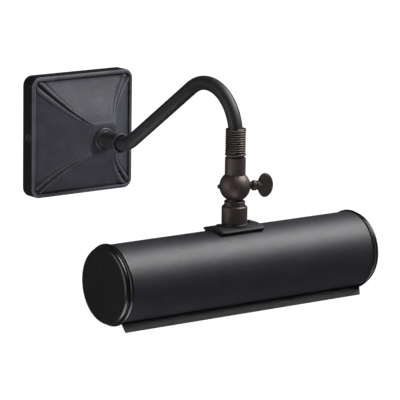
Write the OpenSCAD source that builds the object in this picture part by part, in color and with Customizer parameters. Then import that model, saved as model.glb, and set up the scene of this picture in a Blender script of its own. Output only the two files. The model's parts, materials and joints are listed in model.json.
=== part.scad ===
// Picture light: a square wall plate, a bent arm, a ball knuckle and a tubular shade.
// The origin lies on the wall behind the centre of the plate. The wall is the plane
// y = 0, the light stands out from it along -Y, +X is to the right and +Z is up.

/* [Wall plate] */
// Side of the square wall plate
plate_side = 102; // [100:1:110]
// Depth of the plate's square skirt
plate_skirt = 14.7; // [14:0.1:17]
// Side of the flat boss on top of the plate's pyramid
plate_boss = 26; // [25:0.5:28]
// Distance of the boss face from the wall
plate_rise = 44.5; // [44:0.1:46]
// Corner radius of the skirt
plate_corner = 8; // [6:0.5:10]

/* [Arm] */
// Outside diameter of the arm tube
arm_dia = 11.4; // [11:0.1:11.4]
// Wall thickness of the arm tube
arm_wall = 1.3; // [1:0.1:1.5]
// Distance from the wall to the vertical axis of the knuckle
arm_reach = 222.9; // [215:0.1:230]
// Distance from the wall to the knee, where the two straight stretches would meet
knee_reach = 78.2; // [76:0.1:80]
// Angle at which the arm rises from the knee, in degrees
arm_rise = 34.5; // [33:0.5:36]
// Centreline radius of the bend at the knee
knee_bend = 30; // [26:1:30]
// Centreline radius of the large bend at the top of the arm
crook_bend = 37.3; // [36.5:0.1:38]

/* [Knuckle] */
// Diameter of the knuckle's ball
ball_dia = 24.6; // [24:0.1:25]
// Diameter of the turned body above the ball
barrel_dia = 16.4; // [16:0.1:17]
// Height of the ball's centre above the plate's centre
ball_z = -10.4; // [-10.6:0.1:-10.2]
// Turn of the thumb screw's axis about the vertical, away from +X, in degrees
screw_turn = -22; // [-30:1:0]
// Diameter of the lower socket
socket_dia = 20.4; // [20:0.1:21]

/* [Shade] */
// Length of the shade over its end caps
shade_length = 250; // [240:1:270]
// Outside diameter of the shade
shade_dia = 61.4; // [61:0.1:62]
// Thickness of the shade's sheet
shade_wall = 0.8; // [0.6:0.1:0.8]
// Height of the shade's axis, below the plate's centre
shade_z = -74.7; // [-75:0.1:-74.4]
// Angle of the front lip, from straight down towards the room, in degrees
front_lip_angle = 26; // [20:1:30]
// Angle of the rear lip, from straight down towards the wall, in degrees
rear_lip_angle = 76; // [70:1:80]
// How far the two lips stand out from the shade
lip_height = 7.8; // [6:0.1:8]

/* [Lamps] */
// Diameter of the tubular lamps
lamp_dia = 25; // [22:1:26]
// Distance from the middle of the shade to the tip of each lamp
lamp_tip = 116; // [112:1:117]

/* [Hidden] */
$fn = 64;

// Finishes
satin_black = "#26272a";
bronze = "#3c3734";
steel = "#b9bcc0";
brass = "#c9a55a";
nylon = "#e9e6dc";
glass = "#eef3f2";
porcelain = "#f2f0ea";
sheath_black = "#1c1c1c";
fibre_brown = "#5b4a3a";

// General clearances: a screwed fit, a running fit, and the air left round a fastener
thread_gap = 0.02;
run_gap = 0.05;
hole_gap = 0.1;
wide_gap = 0.2;
cut = 1;

// Screws: width of the slot to the head's radius, and height of its floor to the head's
slot_share = 0.3;
slot_floor = 0.55;

// Wall bracket: a pressed strap with a tongue below for the terminal block
strap_thick = 1.5;
strap_half_z = 10;
plate_wall = 2.3;
strap_gap = 0.3;
strap_half_x = plate_side / 2 - plate_wall - strap_gap;
tab_depth = 11.4;
tab_half_z = 8;
tab_x = strap_half_x - strap_thick;
tongue_half_x = 13;
tongue_bottom = -36;
slot_spacing = 60;
slot_length = 14;
slot_r = 2.4;
entry_r = 7;
earth_x = 15;
earth_boss_r = 3.2;
earth_boss_d = 3.5;
earth_washer_r = 4.2;
earth_washer_thick = 1;
earth_head_r = 3.8;
earth_head_h = 2.6;
m4_r = 1.95;
m3_r = 1.45;

// Terminal block
pole_pitch = 8;
pole_count = 3;
block_x = pole_pitch * pole_count;
block_z = 16;
block_d = 12;
block_low_d = 7.4;
block_mid_z = -25;
pole_width = 6;
well_r = 1.9;
barrel_d = 7;
insert_r = 2.15;
insert_bore = 1.5;
insert_length = 14;
clamp_offset = 4;
clamp_hole_r = 1.3;
clamp_head_r = 1.75;
clamp_head_h = 2.2;
clamp_shank_r = 1.25;
clamp_length = 1.3;
fixing_head_r = 1.9;
fixing_head_h = 1.8;

// Wall plate
rim_width = 3.6;
groove_depth = 1.5;
pyramid_foot = plate_side / 2 - rim_width - 1;
pyramid_foot_d = plate_skirt - groove_depth;
pyramid_sag = 3.8;
pyramid_steps = 10;
shell_thick = 3;
pocket_d = pyramid_foot_d - 1.7;
side_screw_d = 8.2;
side_screw_head_r = 3.8;
side_screw_head_h = 2;
side_screw_rim = 0.3;
side_screw_length = 13;
side_screw_slot = 0.6;

// Arm centreline, as distance from the wall and height
arm_r = arm_dia / 2;
arm_bore = arm_r - arm_wall;
arm_start = 31;
knee_tangent = knee_bend * tan(arm_rise / 2);
knee_start = knee_reach - knee_tangent;
knee_end = [knee_reach + knee_tangent * cos(arm_rise), knee_tangent * sin(arm_rise)];
crook_s = arm_reach - crook_bend;
crook_start_s = crook_s - crook_bend * sin(arm_rise);
crook_start_z = (crook_start_s - knee_reach) * tan(arm_rise);
crook_z = crook_start_z - crook_bend * cos(arm_rise);
rise_length = norm([crook_start_s, crook_start_z] - knee_end);
arm_end_z = 3.2;
lead_end_z = 2.8;
bend_proud = 0.02;
bend_lap = 0.5;

// Arm collar, washer and lock nut
washer_thick = 1.2;
arm_washer_r = 9.6;
plate_inner_d = plate_rise - shell_thick;
arm_nut_thick = 5;
arm_nut_flats = 17;
collar_front = 69.6;

// Lead
lead_r = 2.6;
core_r = 0.95;
core_offset = 1.25;
lead_back = 28;
sweep_sides = 8;
sweep_steps = 16;

// Coil, ferrule and clip round the end of the arm
coil_r = 8.2;
wire_r = 0.85;
coil_bottom = 15.8;
coil_turns = 11;
coil_pitch = 1.83;
ferrule_bottom = 12.5;
ferrule_shoulder = 13.7;
clip_thick = 1;
arm_clip_r = 6.7;
arm_groove_z = arm_end_z + 0.8;

// Knuckle
ball_r = ball_dia / 2;
ball_gap = 0.3;
ball_hollow_r = 9.3;
half_gap = 0.3;
barrel_r = barrel_dia / 2;
barrel_top = 12.3;
barrel_root = 7;
neck_root = -8;
chamber_r = 7;
chamber_top = 6;
boss_r = 3.4;
screw_r = 2;
neck_r = 6.2;
neck_bottom = -22;
collar_r = 8.35;
collar_step = 0.5;
collar_bottom = -25.6;
stem_r = 6;
stem_bore = 3.3;
stem_end = -32;
stem_groove_r = 5;
stem_clip_top = -29.2;
stem_clip_r = 7.6;
friction_thick = 0.5;

// Thumb screw, along its own axis from the ball's centre
screw_tail = -14.1;
button_r = 1.75;
ring_start = 13.8;
ring_end = 17.3;
ring_r = 4.1;
second_ring_end = 19.5;
second_ring_r = 3.75;
paddle_mid = 24.7;
paddle_half_length = 6.4;
paddle_half_height = 9.7;
paddle_thick = 2.8;

// Socket and nipple between the knuckle and the shade
socket_r = socket_dia / 2;
socket_top = -25.75;
socket_roof = -29;
socket_bore = 8.3;
socket_chamfer = 0.8;
nipple_flange_r = 8.2;
nipple_flange_h = 3.5;
nipple_r = 4.9;
nipple_end = -54;

// Shade, seen along +X, with angles from straight down towards the wall
shade_r = shade_dia / 2;
shade_in = shade_r - shade_wall;
cap_flange = 6.5;
cap_sleeve = 13;
cap_thick = 1.3;
shade_half = shade_length / 2 - cap_flange;
lip_half = shade_half - 2.5;
shade_sweep = 360 - front_lip_angle - rear_lip_angle;
lip_thick = 1;
lip_proud = 0.1;
reflector_out = shade_in - 0.15;
reflector_thick = 0.5;
reflector_half = shade_half - 7.5;
reflector_margin = 4;

// Saddle, arched over the shade
saddle_r = 34;
saddle_thick = 1.8;
saddle_half_x = 21;
saddle_half_y = 13.5;
saddle_land_y = 7;
saddle_land_x = 18.5;
saddle_gap = 0.05;
saddle_top = shade_z + saddle_r;
seat_r = socket_r + 0.3;
saddle_half_angle = asin(saddle_half_y / saddle_r);
land_half_angle = asin(saddle_land_y / saddle_r);
saddle_screw_x = 15;
saddle_head_r = 2.5;
saddle_head_h = 1.8;
m4_nut_flats = 7;
m4_nut_h = 3.2;
m10_nut_flats = 14;
m10_nut_h = 3;
nipple_washer_r = 8.4;

// Lamp bracket and holders
bracket_out = reflector_out - reflector_thick - 0.15;
bracket_thick = 1.2;
bracket_in = bracket_out - bracket_thick;
bracket_half_angle = 24;
lug_x = 21;
lug_half_y = 11;
lug_bottom = shade_z - 11;
holder_back = lug_x + bracket_thick / 2 + 0.05;
holder_front = 56;
holder_r = 13.5;
holder_step_r = 14.6;
holder_bore = 7.7;
lamp_cap_r = 7;
lamp_cap_back = 33;
bulb_base = 57;
bulb_r = lamp_dia / 2;
bulb_wall = 0.8;
bulb_neck_r = 9;
dome_share = 0.8;

// Local z runs straight out from the wall, local y up.
module outward() rotate([90, 0, 0]) children();

// Local x runs out from the wall and local y up, in the plane of the arm.
module in_arm_plane() rotate([90, 0, -90]) children();

// Local z is the vertical axis of the knuckle, with z measured from the plate's centre.
module on_knuckle_axis() translate([0, -arm_reach, 0]) children();

// Local x runs along the thumb screw from the ball's centre, local z up.
module at_ball() translate([0, -arm_reach, ball_z]) rotate([0, 0, screw_turn]) children();

// Local z runs along the shade, local x down and local y towards the wall.
module in_shade() translate([0, -arm_reach, shade_z]) rotate([0, 90, 0]) children();

// A round rod from z = low to z = high.
module rod(r, low, high) translate([0, 0, low]) cylinder(r = r, h = high - low);

// A hexagon nut or washer bore: flats across, from z = low to z = high, round a bore.
module hex_nut(flats, bore, low, high) {
    difference() {
        translate([0, 0, low]) cylinder(r = flats / sqrt(3), h = high - low, $fn = 6);
        rod(bore, low - cut, high + cut);
    }
}

// A flat ring from z = low to z = high.
module ring(outer, inner, low, high) {
    difference() {
        rod(outer, low, high);
        rod(inner, low - cut, high + cut);
    }
}

// A square with round corners.
module rounded_square(side, corner) {
    reach = side / 2 - corner;
    hull() {
        for (x = [-reach, reach], y = [-reach, reach])
            translate([x, y]) circle(r = corner, $fn = 32);
    }
}

// A point on a cubic curve with its ends at a and d and its handles at b and c.
function curve_at(a, b, c, d, t) =
    pow(1 - t, 3) * a + 3 * t * pow(1 - t, 2) * b + 3 * t * t * (1 - t) * c + t * t * t * d;

// Points along such a curve.
function curve(a, b, c, d) = [
    for (i = [0 : sweep_steps]) curve_at(a, b, c, d, i / sweep_steps)
];

// A round wire along a route of points. Each ring stands square to the route there.
module wire_along(route, r) {
    lean = [0.31, 0.87, 0.38];
    last = len(route) - 1;
    n = sweep_sides;
    points = [
        for (i = [0 : last])
            let (
                step = route[min(i + 1, last)] - route[max(i - 1, 0)],
                along = step / norm(step),
                side = cross(along, lean) / norm(cross(along, lean)),
                up = cross(along, side)
            )
            for (k = [0 : n - 1]) route[i] + r * (cos(360 * k / n) * side + sin(360 * k / n) * up)
    ];
    walls = [
        for (i = [0 : last - 1], k = [0 : n - 1])
            let (next = (k + 1) % n)
            [i * n + k, (i + 1) * n + k, (i + 1) * n + next, i * n + next]
    ];
    first_face = [for (k = [0 : n - 1]) k];
    last_face = [for (k = [n - 1 : -1 : 0]) last * n + k];
    polyhedron(points = points, faces = concat([first_face], walls, [last_face]));
}

// One side of the pyramid's outline, from foot to top, hollowed by sag.
function flank(foot, top, sag) =
    let (
        run = top - foot,
        across = [-run[1], run[0]] / norm(run)
    )
    [for (i = [0 : pyramid_steps])
        let (t = i / pyramid_steps)
        foot + run * t + across * sag * 4 * t * (1 - t)];

// A four-sided pyramid with hollow flanks, from depth base out to the flat top.
module pyramid(foot, top, base) {
    right = flank(foot, top, pyramid_sag);
    left = [for (i = [pyramid_steps : -1 : 0]) [-right[i][0], right[i][1]]];
    outline = concat([[foot[0], base]], right, left, [[-foot[0], base]]);
    width = 2 * foot[0];
    intersection() {
        rotate([90, 0, 0]) linear_extrude(height = width, center = true) polygon(outline);
        rotate([90, 0, 90]) linear_extrude(height = width, center = true) polygon(outline);
    }
}

// Strap that is screwed to the wall, with tapped tabs at its ends and a tongue below.
module wall_bracket() {
    color(steel) outward() {
        difference() {
            union() {
                translate([-strap_half_x, -strap_half_z, 0])
                    cube([2 * strap_half_x, 2 * strap_half_z, strap_thick]);
                translate([-tongue_half_x, tongue_bottom, 0])
                    cube([2 * tongue_half_x, -tongue_bottom, strap_thick]);
                for (x = [-strap_half_x, tab_x])
                    translate([x, -tab_half_z, 0]) cube([strap_thick, 2 * tab_half_z, tab_depth]);
                translate([earth_x, 0, 0]) rod(earth_boss_r, 0, earth_boss_d);
            }
            for (side = [-1, 1]) {
                translate([side * slot_spacing / 2, 0, 0]) wall_slot();
                translate([side * (strap_half_x + cut), 0, side_screw_d])
                    rotate([0, -90 * side, 0]) cylinder(r = m4_r + run_gap, h = strap_thick + 2 * cut);
                translate([side * pole_pitch / 2, block_mid_z, 0])
                    rod(m3_r + run_gap, -cut, strap_thick + cut);
            }
            rod(entry_r, -cut, strap_thick + cut);
            translate([earth_x, 0, 0]) rod(m4_r + run_gap, -cut, earth_boss_d + cut);
        }
    }
}

// The cutter for one slotted hole along X.
module wall_slot() {
    reach = slot_length / 2 - slot_r;
    for (x = [-reach, reach]) translate([x, 0, 0]) rod(slot_r, -cut, strap_thick + cut);
    translate([-reach, -slot_r, -cut]) cube([2 * reach, 2 * slot_r, strap_thick + 2 * cut]);
}

module earth_washer() {
    color(brass) outward() translate([earth_x, 0, 0])
        ring(earth_washer_r, m4_r + run_gap, earth_boss_d, earth_boss_d + earth_washer_thick);
}

// Pan-head screw with a slot, its head out from the wall.
module slotted_screw(head_r, head_h, shank_r, length) {
    slot_w = head_r * slot_share;
    difference() {
        rod(head_r, 0, head_h);
        translate([-head_r - cut, -slot_w / 2, head_h * slot_floor])
            cube([2 * (head_r + cut), slot_w, head_h]);
    }
    rod(shank_r, -length, head_h * slot_floor / 2);
}

module earth_screw() {
    color(brass) outward() translate([earth_x, 0, earth_boss_d + earth_washer_thick])
        slotted_screw(earth_head_r, earth_head_h, m4_r, earth_boss_d + 0.8);
}

// Moulded block with a channel for each pole and a well over each clamping screw.
module terminal_block() {
    color(nylon) outward() translate([0, block_mid_z, strap_thick]) {
        difference() {
            union() {
                translate([-block_x / 2, -block_z / 2, 0]) cube([block_x, block_z, block_low_d]);
                for (pole = [-1 : 1]) {
                    translate([pole * pole_pitch - pole_width / 2, -block_z / 2 + 1, 0])
                        cube([pole_width, block_z - 2, block_d]);
                }
            }
            for (pole = [-1 : 1]) {
                translate([pole * pole_pitch, block_z / 2 + cut, barrel_d - strap_thick])
                    rotate([90, 0, 0]) cylinder(r = insert_r + run_gap, h = block_z + 2 * cut);
                for (end = [-1, 1]) {
                    translate([pole * pole_pitch, end * clamp_offset, 0])
                        rod(well_r, barrel_d - strap_thick, block_d + cut);
                }
            }
            for (side = [-1, 1]) translate([side * pole_pitch / 2, 0, 0]) {
                rod(m3_r + hole_gap, -cut, block_d);
                rod(fixing_head_r + hole_gap, block_low_d, block_d + cut);
            }
        }
    }
}

// Brass barrels that clamp the cores.
module terminal_inserts() {
    color(brass) outward() for (pole = [-1 : 1]) {
        translate([pole * pole_pitch, block_mid_z, barrel_d]) {
            difference() {
                rotate([90, 0, 0]) cylinder(r = insert_r, h = insert_length, center = true);
                rotate([90, 0, 0]) cylinder(r = insert_bore, h = insert_length + 2 * cut, center = true);
                for (end = [-1, 1])
                    translate([0, end * clamp_offset, 0]) rod(clamp_hole_r, 0, insert_r + cut);
            }
        }
    }
}

module terminal_screws() {
    head_d = barrel_d + insert_r + 0.15;
    color(brass) outward() for (pole = [-1 : 1], end = [-1, 1]) {
        translate([pole * pole_pitch, block_mid_z + end * clamp_offset, head_d])
            slotted_screw(clamp_head_r, clamp_head_h, clamp_shank_r, clamp_length);
    }
}

module terminal_fixing_screws() {
    color(steel) outward() for (side = [-1, 1]) {
        translate([side * pole_pitch / 2, block_mid_z, strap_thick + block_low_d])
            slotted_screw(fixing_head_r, fixing_head_h, m3_r, block_low_d + strap_thick - wide_gap);
    }
}

// Cast cover: a square skirt, a flat rim, a groove and a pyramid with hollow flanks.
module wall_plate() {
    half_top = plate_boss / 2;
    groove_side = plate_side - 2 * rim_width;
    sink_r = side_screw_head_r + hole_gap;
    color(satin_black) outward() {
        difference() {
            union() {
                difference() {
                    linear_extrude(height = plate_skirt) rounded_square(plate_side, plate_corner);
                    translate([0, 0, pyramid_foot_d + groove_depth / 2])
                        cube([groove_side, groove_side, groove_depth], center = true);
                }
                pyramid([pyramid_foot, pyramid_foot_d], [half_top, plate_rise], pyramid_foot_d - 1);
            }
            translate([0, 0, -cut]) linear_extrude(height = pocket_d + cut)
                rounded_square(plate_side - 2 * plate_wall, plate_corner - plate_wall);
            pyramid([pyramid_foot - 2, pocket_d], [half_top - 1.6, plate_inner_d], pocket_d - 1);
            rod(arm_r + hole_gap, plate_inner_d - cut, plate_rise + cut);
            for (side = [-1, 1]) side_screw_place(side) {
                rod(m4_r + hole_gap, -plate_wall - cut, cut);
                rotate_extrude() polygon([
                    [0, -side_screw_head_h - hole_gap],
                    [m4_r, -side_screw_head_h - hole_gap],
                    [sink_r, -side_screw_rim - hole_gap],
                    [sink_r, cut],
                    [0, cut]
                ]);
            }
        }
    }
}

// Local z points out of the plate's left or right wall at the side screw.
module side_screw_place(side) {
    translate([side * plate_side / 2, 0, side_screw_d]) rotate([0, 90 * side, 0]) children();
}

// Countersunk slotted screws through the skirt into the bracket's tabs.
module plate_side_screws() {
    color(satin_black) outward() for (side = [-1, 1]) side_screw_place(side) {
        difference() {
            union() {
                rotate_extrude() polygon([
                    [0, -side_screw_head_h],
                    [m4_r - run_gap, -side_screw_head_h],
                    [side_screw_head_r, -side_screw_rim],
                    [side_screw_head_r, -hole_gap],
                    [0, -hole_gap]
                ]);
                rod(m4_r - run_gap, -side_screw_length, -side_screw_head_h + hole_gap);
            }
            translate([-side_screw_slot, -side_screw_head_r - cut, -side_screw_head_h / 2])
                cube([2 * side_screw_slot, 2 * (side_screw_head_r + cut), side_screw_head_h]);
        }
    }
}

// Turned collar where the arm leaves the plate, between a base ring and a front ring.
module arm_collar() {
    bore = arm_r + run_gap;
    d = plate_rise;
    color(satin_black) outward() rotate_extrude() polygon([
        [bore, d], [9.2, d], [9.45, d + 0.4], [9.45, d + 1.7], [8.8, d + 2.4], [7.2, d + 2.6],
        [6.4, d + 3], [6.4, d + 3.8], [6.8, d + 4.4],
        [6.8, collar_front - 3.8], [7.3, collar_front - 3.4], [8, collar_front - 3.1],
        [8.4, collar_front - 2.4], [8.4, collar_front - 0.8], [7.8, collar_front - 0.1],
        [6.9, collar_front], [bore, collar_front - 0.6]
    ]);
}

module arm_washer() {
    color(steel) outward()
        ring(arm_washer_r, arm_r + hole_gap, plate_inner_d - washer_thick, plate_inner_d);
}

module arm_lock_nut() {
    top = plate_inner_d - washer_thick;
    color(brass) outward() hex_nut(arm_nut_flats, arm_r + thread_gap, top - arm_nut_thick, top);
}

// A straight round rod along local x, lapped into a bend at its back or front end,
// and whatever follows from its far end.
module straight(r, length, lap_back, lap_front) {
    translate([-lap_back, 0, 0]) rotate([0, 90, 0]) cylinder(r = r, h = lap_back + length + lap_front);
    translate([length, 0, 0]) children();
}

// A round rod that bends left from local x, and whatever follows from its far end.
// It stands a hair proud of the straight stretches, so that their laps lie inside it.
module bend_left(r, radius, angle) {
    translate([0, radius, 0]) rotate([0, 0, -90])
        rotate_extrude(angle = angle) translate([radius, 0]) circle(r = r + bend_proud);
    translate([0, radius, 0]) rotate([0, 0, angle]) translate([0, -radius, 0]) children();
}

// A round rod that bends right from local x, and whatever follows from its far end.
module bend_right(r, radius, angle) {
    mirror([0, 1, 0]) bend_left(r, radius, angle) mirror([0, 1, 0]) children();
}

// A round rod that follows the arm's centreline from start, at the wall, down to end_z.
module arm_run(r, start, end_z) {
    in_arm_plane() translate([start, 0, 0])
        straight(r, knee_start - start, 0, bend_lap)
        bend_left(r, knee_bend, arm_rise)
        straight(r, rise_length, bend_lap, bend_lap)
        bend_right(r, crook_bend, 90 + arm_rise)
        straight(r, crook_z - end_z, bend_lap, 0);
}

// Bent tube, grooved near its lower end for the clip that holds the knuckle on.
module arm_tube() {
    color(satin_black) difference() {
        arm_run(arm_r, arm_start, arm_end_z);
        arm_run(arm_bore, arm_start - cut, arm_end_z - cut);
        on_knuckle_axis() ring(arm_r + cut, arm_r - 0.5, arm_groove_z, arm_groove_z + clip_thick + hole_gap);
    }
}

module arm_lead() {
    color(sheath_black) arm_run(lead_r, lead_back, lead_end_z);
}

// Three cores from the end of the sheath down to the terminal block.
module arm_lead_cores() {
    color(sheath_black) for (pole = [-1 : 1]) {
        start = [pole * core_offset, run_gap - lead_back, pole == 0 ? 1.1 : -0.6];
        end = [pole * pole_pitch, -barrel_d, block_mid_z + clamp_offset + 1];
        wire_along(curve(start, start + [0, 17, 0], end + [0, 0, 20], end), core_r);
    }
}

// Close-wound wire round the end of the arm, as a stack of rings on a thin web.
module coil_sleeve() {
    mid_r = coil_r - wire_r;
    first_z = coil_bottom + wire_r;
    web = 0.7;
    color(bronze) on_knuckle_axis() rotate_extrude() {
        for (turn = [0 : coil_turns - 1])
            translate([mid_r, first_z + turn * coil_pitch]) circle(r = wire_r);
        translate([mid_r - web / 2, first_z]) square([web, (coil_turns - 1) * coil_pitch]);
    }
}

// Ring that the coil stands on, with a chamfered shoulder and a short neck.
module arm_ferrule() {
    bore = arm_r + run_gap;
    top = coil_bottom - run_gap;
    color(bronze) on_knuckle_axis() rotate_extrude() polygon([
        [bore, ferrule_bottom], [6.9, ferrule_bottom], [6.9, ferrule_shoulder],
        [7.6, ferrule_shoulder], [8.3, ferrule_shoulder + 0.6], [8.3, top - 0.4],
        [7.9, top], [bore, top]
    ]);
}

module arm_clip() {
    low = arm_groove_z + run_gap;
    color(steel) on_knuckle_axis() ring(arm_clip_r, arm_r - 0.45, low, low + clip_thick);
}

// Everything on one side of the plane through the ball's centre, square to the screw.
module screw_side(side, gap) {
    size = 4 * ball_r;
    translate([side > 0 ? gap : -gap - size, -size / 2, -size / 2]) cube(size);
}

// A hollow half ball on one side, with a tube for the screw in its middle.
module half_ball(side) {
    rotate([0, 90 * side, 0]) rotate_extrude() {
        difference() {
            intersection() {
                circle(r = ball_r);
                translate([screw_r + run_gap, half_gap]) square(2 * ball_r);
            }
            circle(r = ball_hollow_r);
        }
        translate([screw_r + run_gap, half_gap]) square([boss_r - screw_r, ball_hollow_r + 1]);
    }
}

// The air that the other half ball needs, on one side of the middle plane.
module ball_clearance(side) {
    intersection() {
        sphere(r = ball_r + ball_gap);
        screw_side(side, -half_gap);
    }
}

// Upper half of the knuckle: the barrel on the arm and the half ball on the screw's side.
module knuckle_top() {
    color(bronze) at_ball() difference() {
        union() {
            difference() {
                rod(barrel_r, barrel_root, barrel_top - ball_z);
                sphere(r = (ball_r + ball_hollow_r) / 2);
                ball_clearance(-1);
            }
            half_ball(1);
        }
        rod(arm_bore, barrel_root, barrel_top - ball_z);
        rod(chamber_r, ball_r - 1, chamber_top - ball_z);
        rod(arm_r + run_gap, ball_r, barrel_top - ball_z + cut);
    }
}

// Fibre ring between the two half balls.
module friction_ring() {
    color(fibre_brown) at_ball() rotate([0, 90, 0])
        ring(ball_r - wide_gap, ball_hollow_r + wide_gap, -friction_thick / 2, friction_thick / 2);
}

// Thumb screw: a shaft through the ball, two turned rings and a flat oval paddle.
module thumb_screw() {
    color(bronze) at_ball() {
        rotate([0, 90, 0]) {
            rod(screw_r, -ball_r + 0.3, ring_start + 0.5);
            rotate_extrude() polygon([
                [0, screw_tail], [button_r - 0.8, screw_tail], [button_r, screw_tail + 0.7],
                [button_r, -ball_r + 0.4], [0, -ball_r + 0.4]
            ]);
            rotate_extrude() polygon([
                [0, ball_r + 0.25], [3, ball_r + 0.25], [3, ring_start], [3.8, ring_start],
                [ring_r, ring_start + 0.5], [ring_r, ring_end - 0.5], [3.9, ring_end - 0.1],
                [3.2, ring_end], [3.4, ring_end + 0.2], [second_ring_r, ring_end + 0.6],
                [second_ring_r, second_ring_end - 0.5], [3.2, second_ring_end], [0, second_ring_end]
            ]);
        }
        translate([paddle_mid, 0, 0]) rotate([90, 0, 0])
            linear_extrude(height = paddle_thick, center = true) polygon([
                for (i = [0 : 35]) [paddle_half_length * cos(10 * i), paddle_half_height * sin(10 * i)]
            ]);
    }
}

// Lower half of the knuckle: the other half ball, the neck, the collar and the stem.
module knuckle_bottom() {
    top = neck_bottom - ball_z;
    color(bronze) at_ball() difference() {
        union() {
            difference() {
                union() {
                    rod(neck_r, top - cut, neck_root);
                    rotate_extrude() polygon([
                        [0, top], [collar_r - 0.4, top], [collar_r, top - 0.4], [collar_r, top - 1.5],
                        [collar_r - collar_step, top - 1.8], [collar_r - collar_step, top - 2.3],
                        [collar_r, top - 2.6], [collar_r, collar_bottom - ball_z],
                        [stem_r, collar_bottom - ball_z], [stem_r, stem_end - ball_z], [0, stem_end - ball_z]
                    ]);
                }
                sphere(r = (ball_r + ball_hollow_r) / 2);
                ball_clearance(1);
            }
            half_ball(-1);
        }
        rod(stem_bore, stem_end - ball_z - cut, neck_root);
        translate([0, 0, stem_clip_top - ball_z - clip_thick / 2])
            ring(stem_r + cut, stem_groove_r, -clip_thick / 2 - run_gap, clip_thick / 2 + run_gap);
    }
}

module stem_clip() {
    color(steel) on_knuckle_axis()
        ring(stem_clip_r, stem_groove_r + run_gap, stem_clip_top - clip_thick, stem_clip_top);
}

// Turned cup that the stem turns in, closed from below by the nipple's flange.
module swivel_socket() {
    color(bronze) on_knuckle_axis() rotate_extrude() polygon([
        [stem_r + run_gap, socket_top], [socket_r - socket_chamfer, socket_top],
        [socket_r, socket_top - socket_chamfer], [socket_r, saddle_top], [socket_bore, saddle_top],
        [socket_bore, socket_roof], [stem_r + run_gap, socket_roof]
    ]);
}

// Hollow threaded nipple that holds the socket on the saddle and the shade.
module shade_nipple() {
    color(brass) on_knuckle_axis() difference() {
        union() {
            rod(nipple_flange_r, saddle_top, saddle_top + nipple_flange_h);
            rod(nipple_r, nipple_end, saddle_top);
        }
        rod(stem_bore, nipple_end - cut, saddle_top + nipple_flange_h + cut);
    }
}

// A strip of sheet rolled about the shade's axis, centred on the top of the shade.
module top_strip(outer, inner, half_angle, half_x) {
    in_shade() rotate([0, 0, 180 - half_angle]) rotate_extrude(angle = 2 * half_angle)
        translate([inner, -half_x]) square([outer - inner, 2 * half_x]);
}

// Holes from above for the nipple and the two saddle screws.
module top_holes(nipple_hole, screw_hole) {
    on_knuckle_axis() {
        rod(nipple_hole, nipple_end, saddle_top + cut);
        for (x = [-saddle_screw_x, saddle_screw_x])
            translate([x, 0, 0]) rod(screw_hole, nipple_end, saddle_top + cut);
    }
}

// Arched plate with a raised land below and a round seat above for the socket.
module saddle() {
    color(satin_black) difference() {
        union() {
            top_strip(saddle_r, saddle_r - saddle_thick, saddle_half_angle, saddle_half_x);
            top_strip(saddle_r - saddle_thick / 2, shade_r + saddle_gap, land_half_angle, saddle_land_x);
            on_knuckle_axis() rod(seat_r, saddle_top - saddle_thick - 0.8, saddle_top - thread_gap);
        }
        top_holes(nipple_r + hole_gap, m4_r + hole_gap);
    }
}

module saddle_screws() {
    length = saddle_r - bracket_in + m4_nut_h + 1.1;
    color(satin_black) on_knuckle_axis() for (x = [-saddle_screw_x, saddle_screw_x])
        translate([x, 0, saddle_top]) slotted_screw(saddle_head_r, saddle_head_h, m4_r, length);
}

module saddle_nuts() {
    top = under_bracket(m4_nut_flats / sqrt(3));
    color(steel) on_knuckle_axis() for (x = [-saddle_screw_x, saddle_screw_x])
        translate([x, 0, 0]) hex_nut(m4_nut_flats, m4_r + thread_gap, top - m4_nut_h, top);
}

// Rolled sheet, open from the front lip round the bottom to the rear lip.
module shade() {
    color(satin_black) difference() {
        in_shade() {
            linear_extrude(height = 2 * shade_half, center = true) difference() {
                circle(r = shade_r);
                circle(r = shade_in);
                polygon([[0, 0], edge_ray(-front_lip_angle), edge_ray(rear_lip_angle)]);
            }
            linear_extrude(height = 2 * lip_half, center = true) {
                rotate(rear_lip_angle) lip(-lip_proud);
                rotate(-front_lip_angle) lip(lip_proud - lip_thick);
            }
        }
        top_holes(nipple_r + wide_gap, m4_r + wide_gap);
    }
}

// A point well outside the shade at an angle from straight down.
function edge_ray(angle) = 2 * shade_dia * [cos(angle), sin(angle)];

// Section of a flat flange that stands out from the edge of the rolled sheet.
module lip(offset_y) {
    translate([shade_in + lip_proud, offset_y]) square([shade_wall + lip_height - lip_proud, lip_thick]);
}

// Spun cap: a flat disc, a rolled rim, a groove, a proud ring and a sleeve into the shade.
module end_cap() {
    face = shade_length / 2;
    sleeve_r = shade_in - run_gap;
    color(satin_black) in_shade() rotate_extrude() polygon([
        [0, face], [29, face], [29.8, face - 0.25], [30.2, face - 1], [30.2, face - 3.1],
        [29.5, face - 3.5], [29.5, face - 4],
        [31.3, face - 4.2], [31.9, face - 4.8], [31.9, face - 5.8], [31.4, face - cap_flange],
        [sleeve_r, face - cap_flange], [sleeve_r, face - cap_sleeve],
        [sleeve_r - 0.8, face - cap_sleeve], [sleeve_r - 0.8, face - cap_thick], [0, face - cap_thick]
    ]);
}

module right_end_cap() end_cap();

module left_end_cap() mirror([1, 0, 0]) end_cap();

// Polished liner that follows the inside of the shade.
module reflector() {
    start = rear_lip_angle + reflector_margin;
    sweep = shade_sweep - 2 * reflector_margin;
    color(steel) difference() {
        in_shade() rotate([0, 0, start]) rotate_extrude(angle = sweep)
            translate([reflector_out - reflector_thick, -reflector_half])
                square([reflector_thick, 2 * reflector_half]);
        top_holes(nipple_r + wide_gap, m4_r + wide_gap);
    }
}

// Height at which a flat piece that reaches this far from the axis meets the arched bracket.
function under_bracket(reach) = shade_z + sqrt(pow(bracket_in, 2) - pow(reach, 2)) - run_gap;

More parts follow.
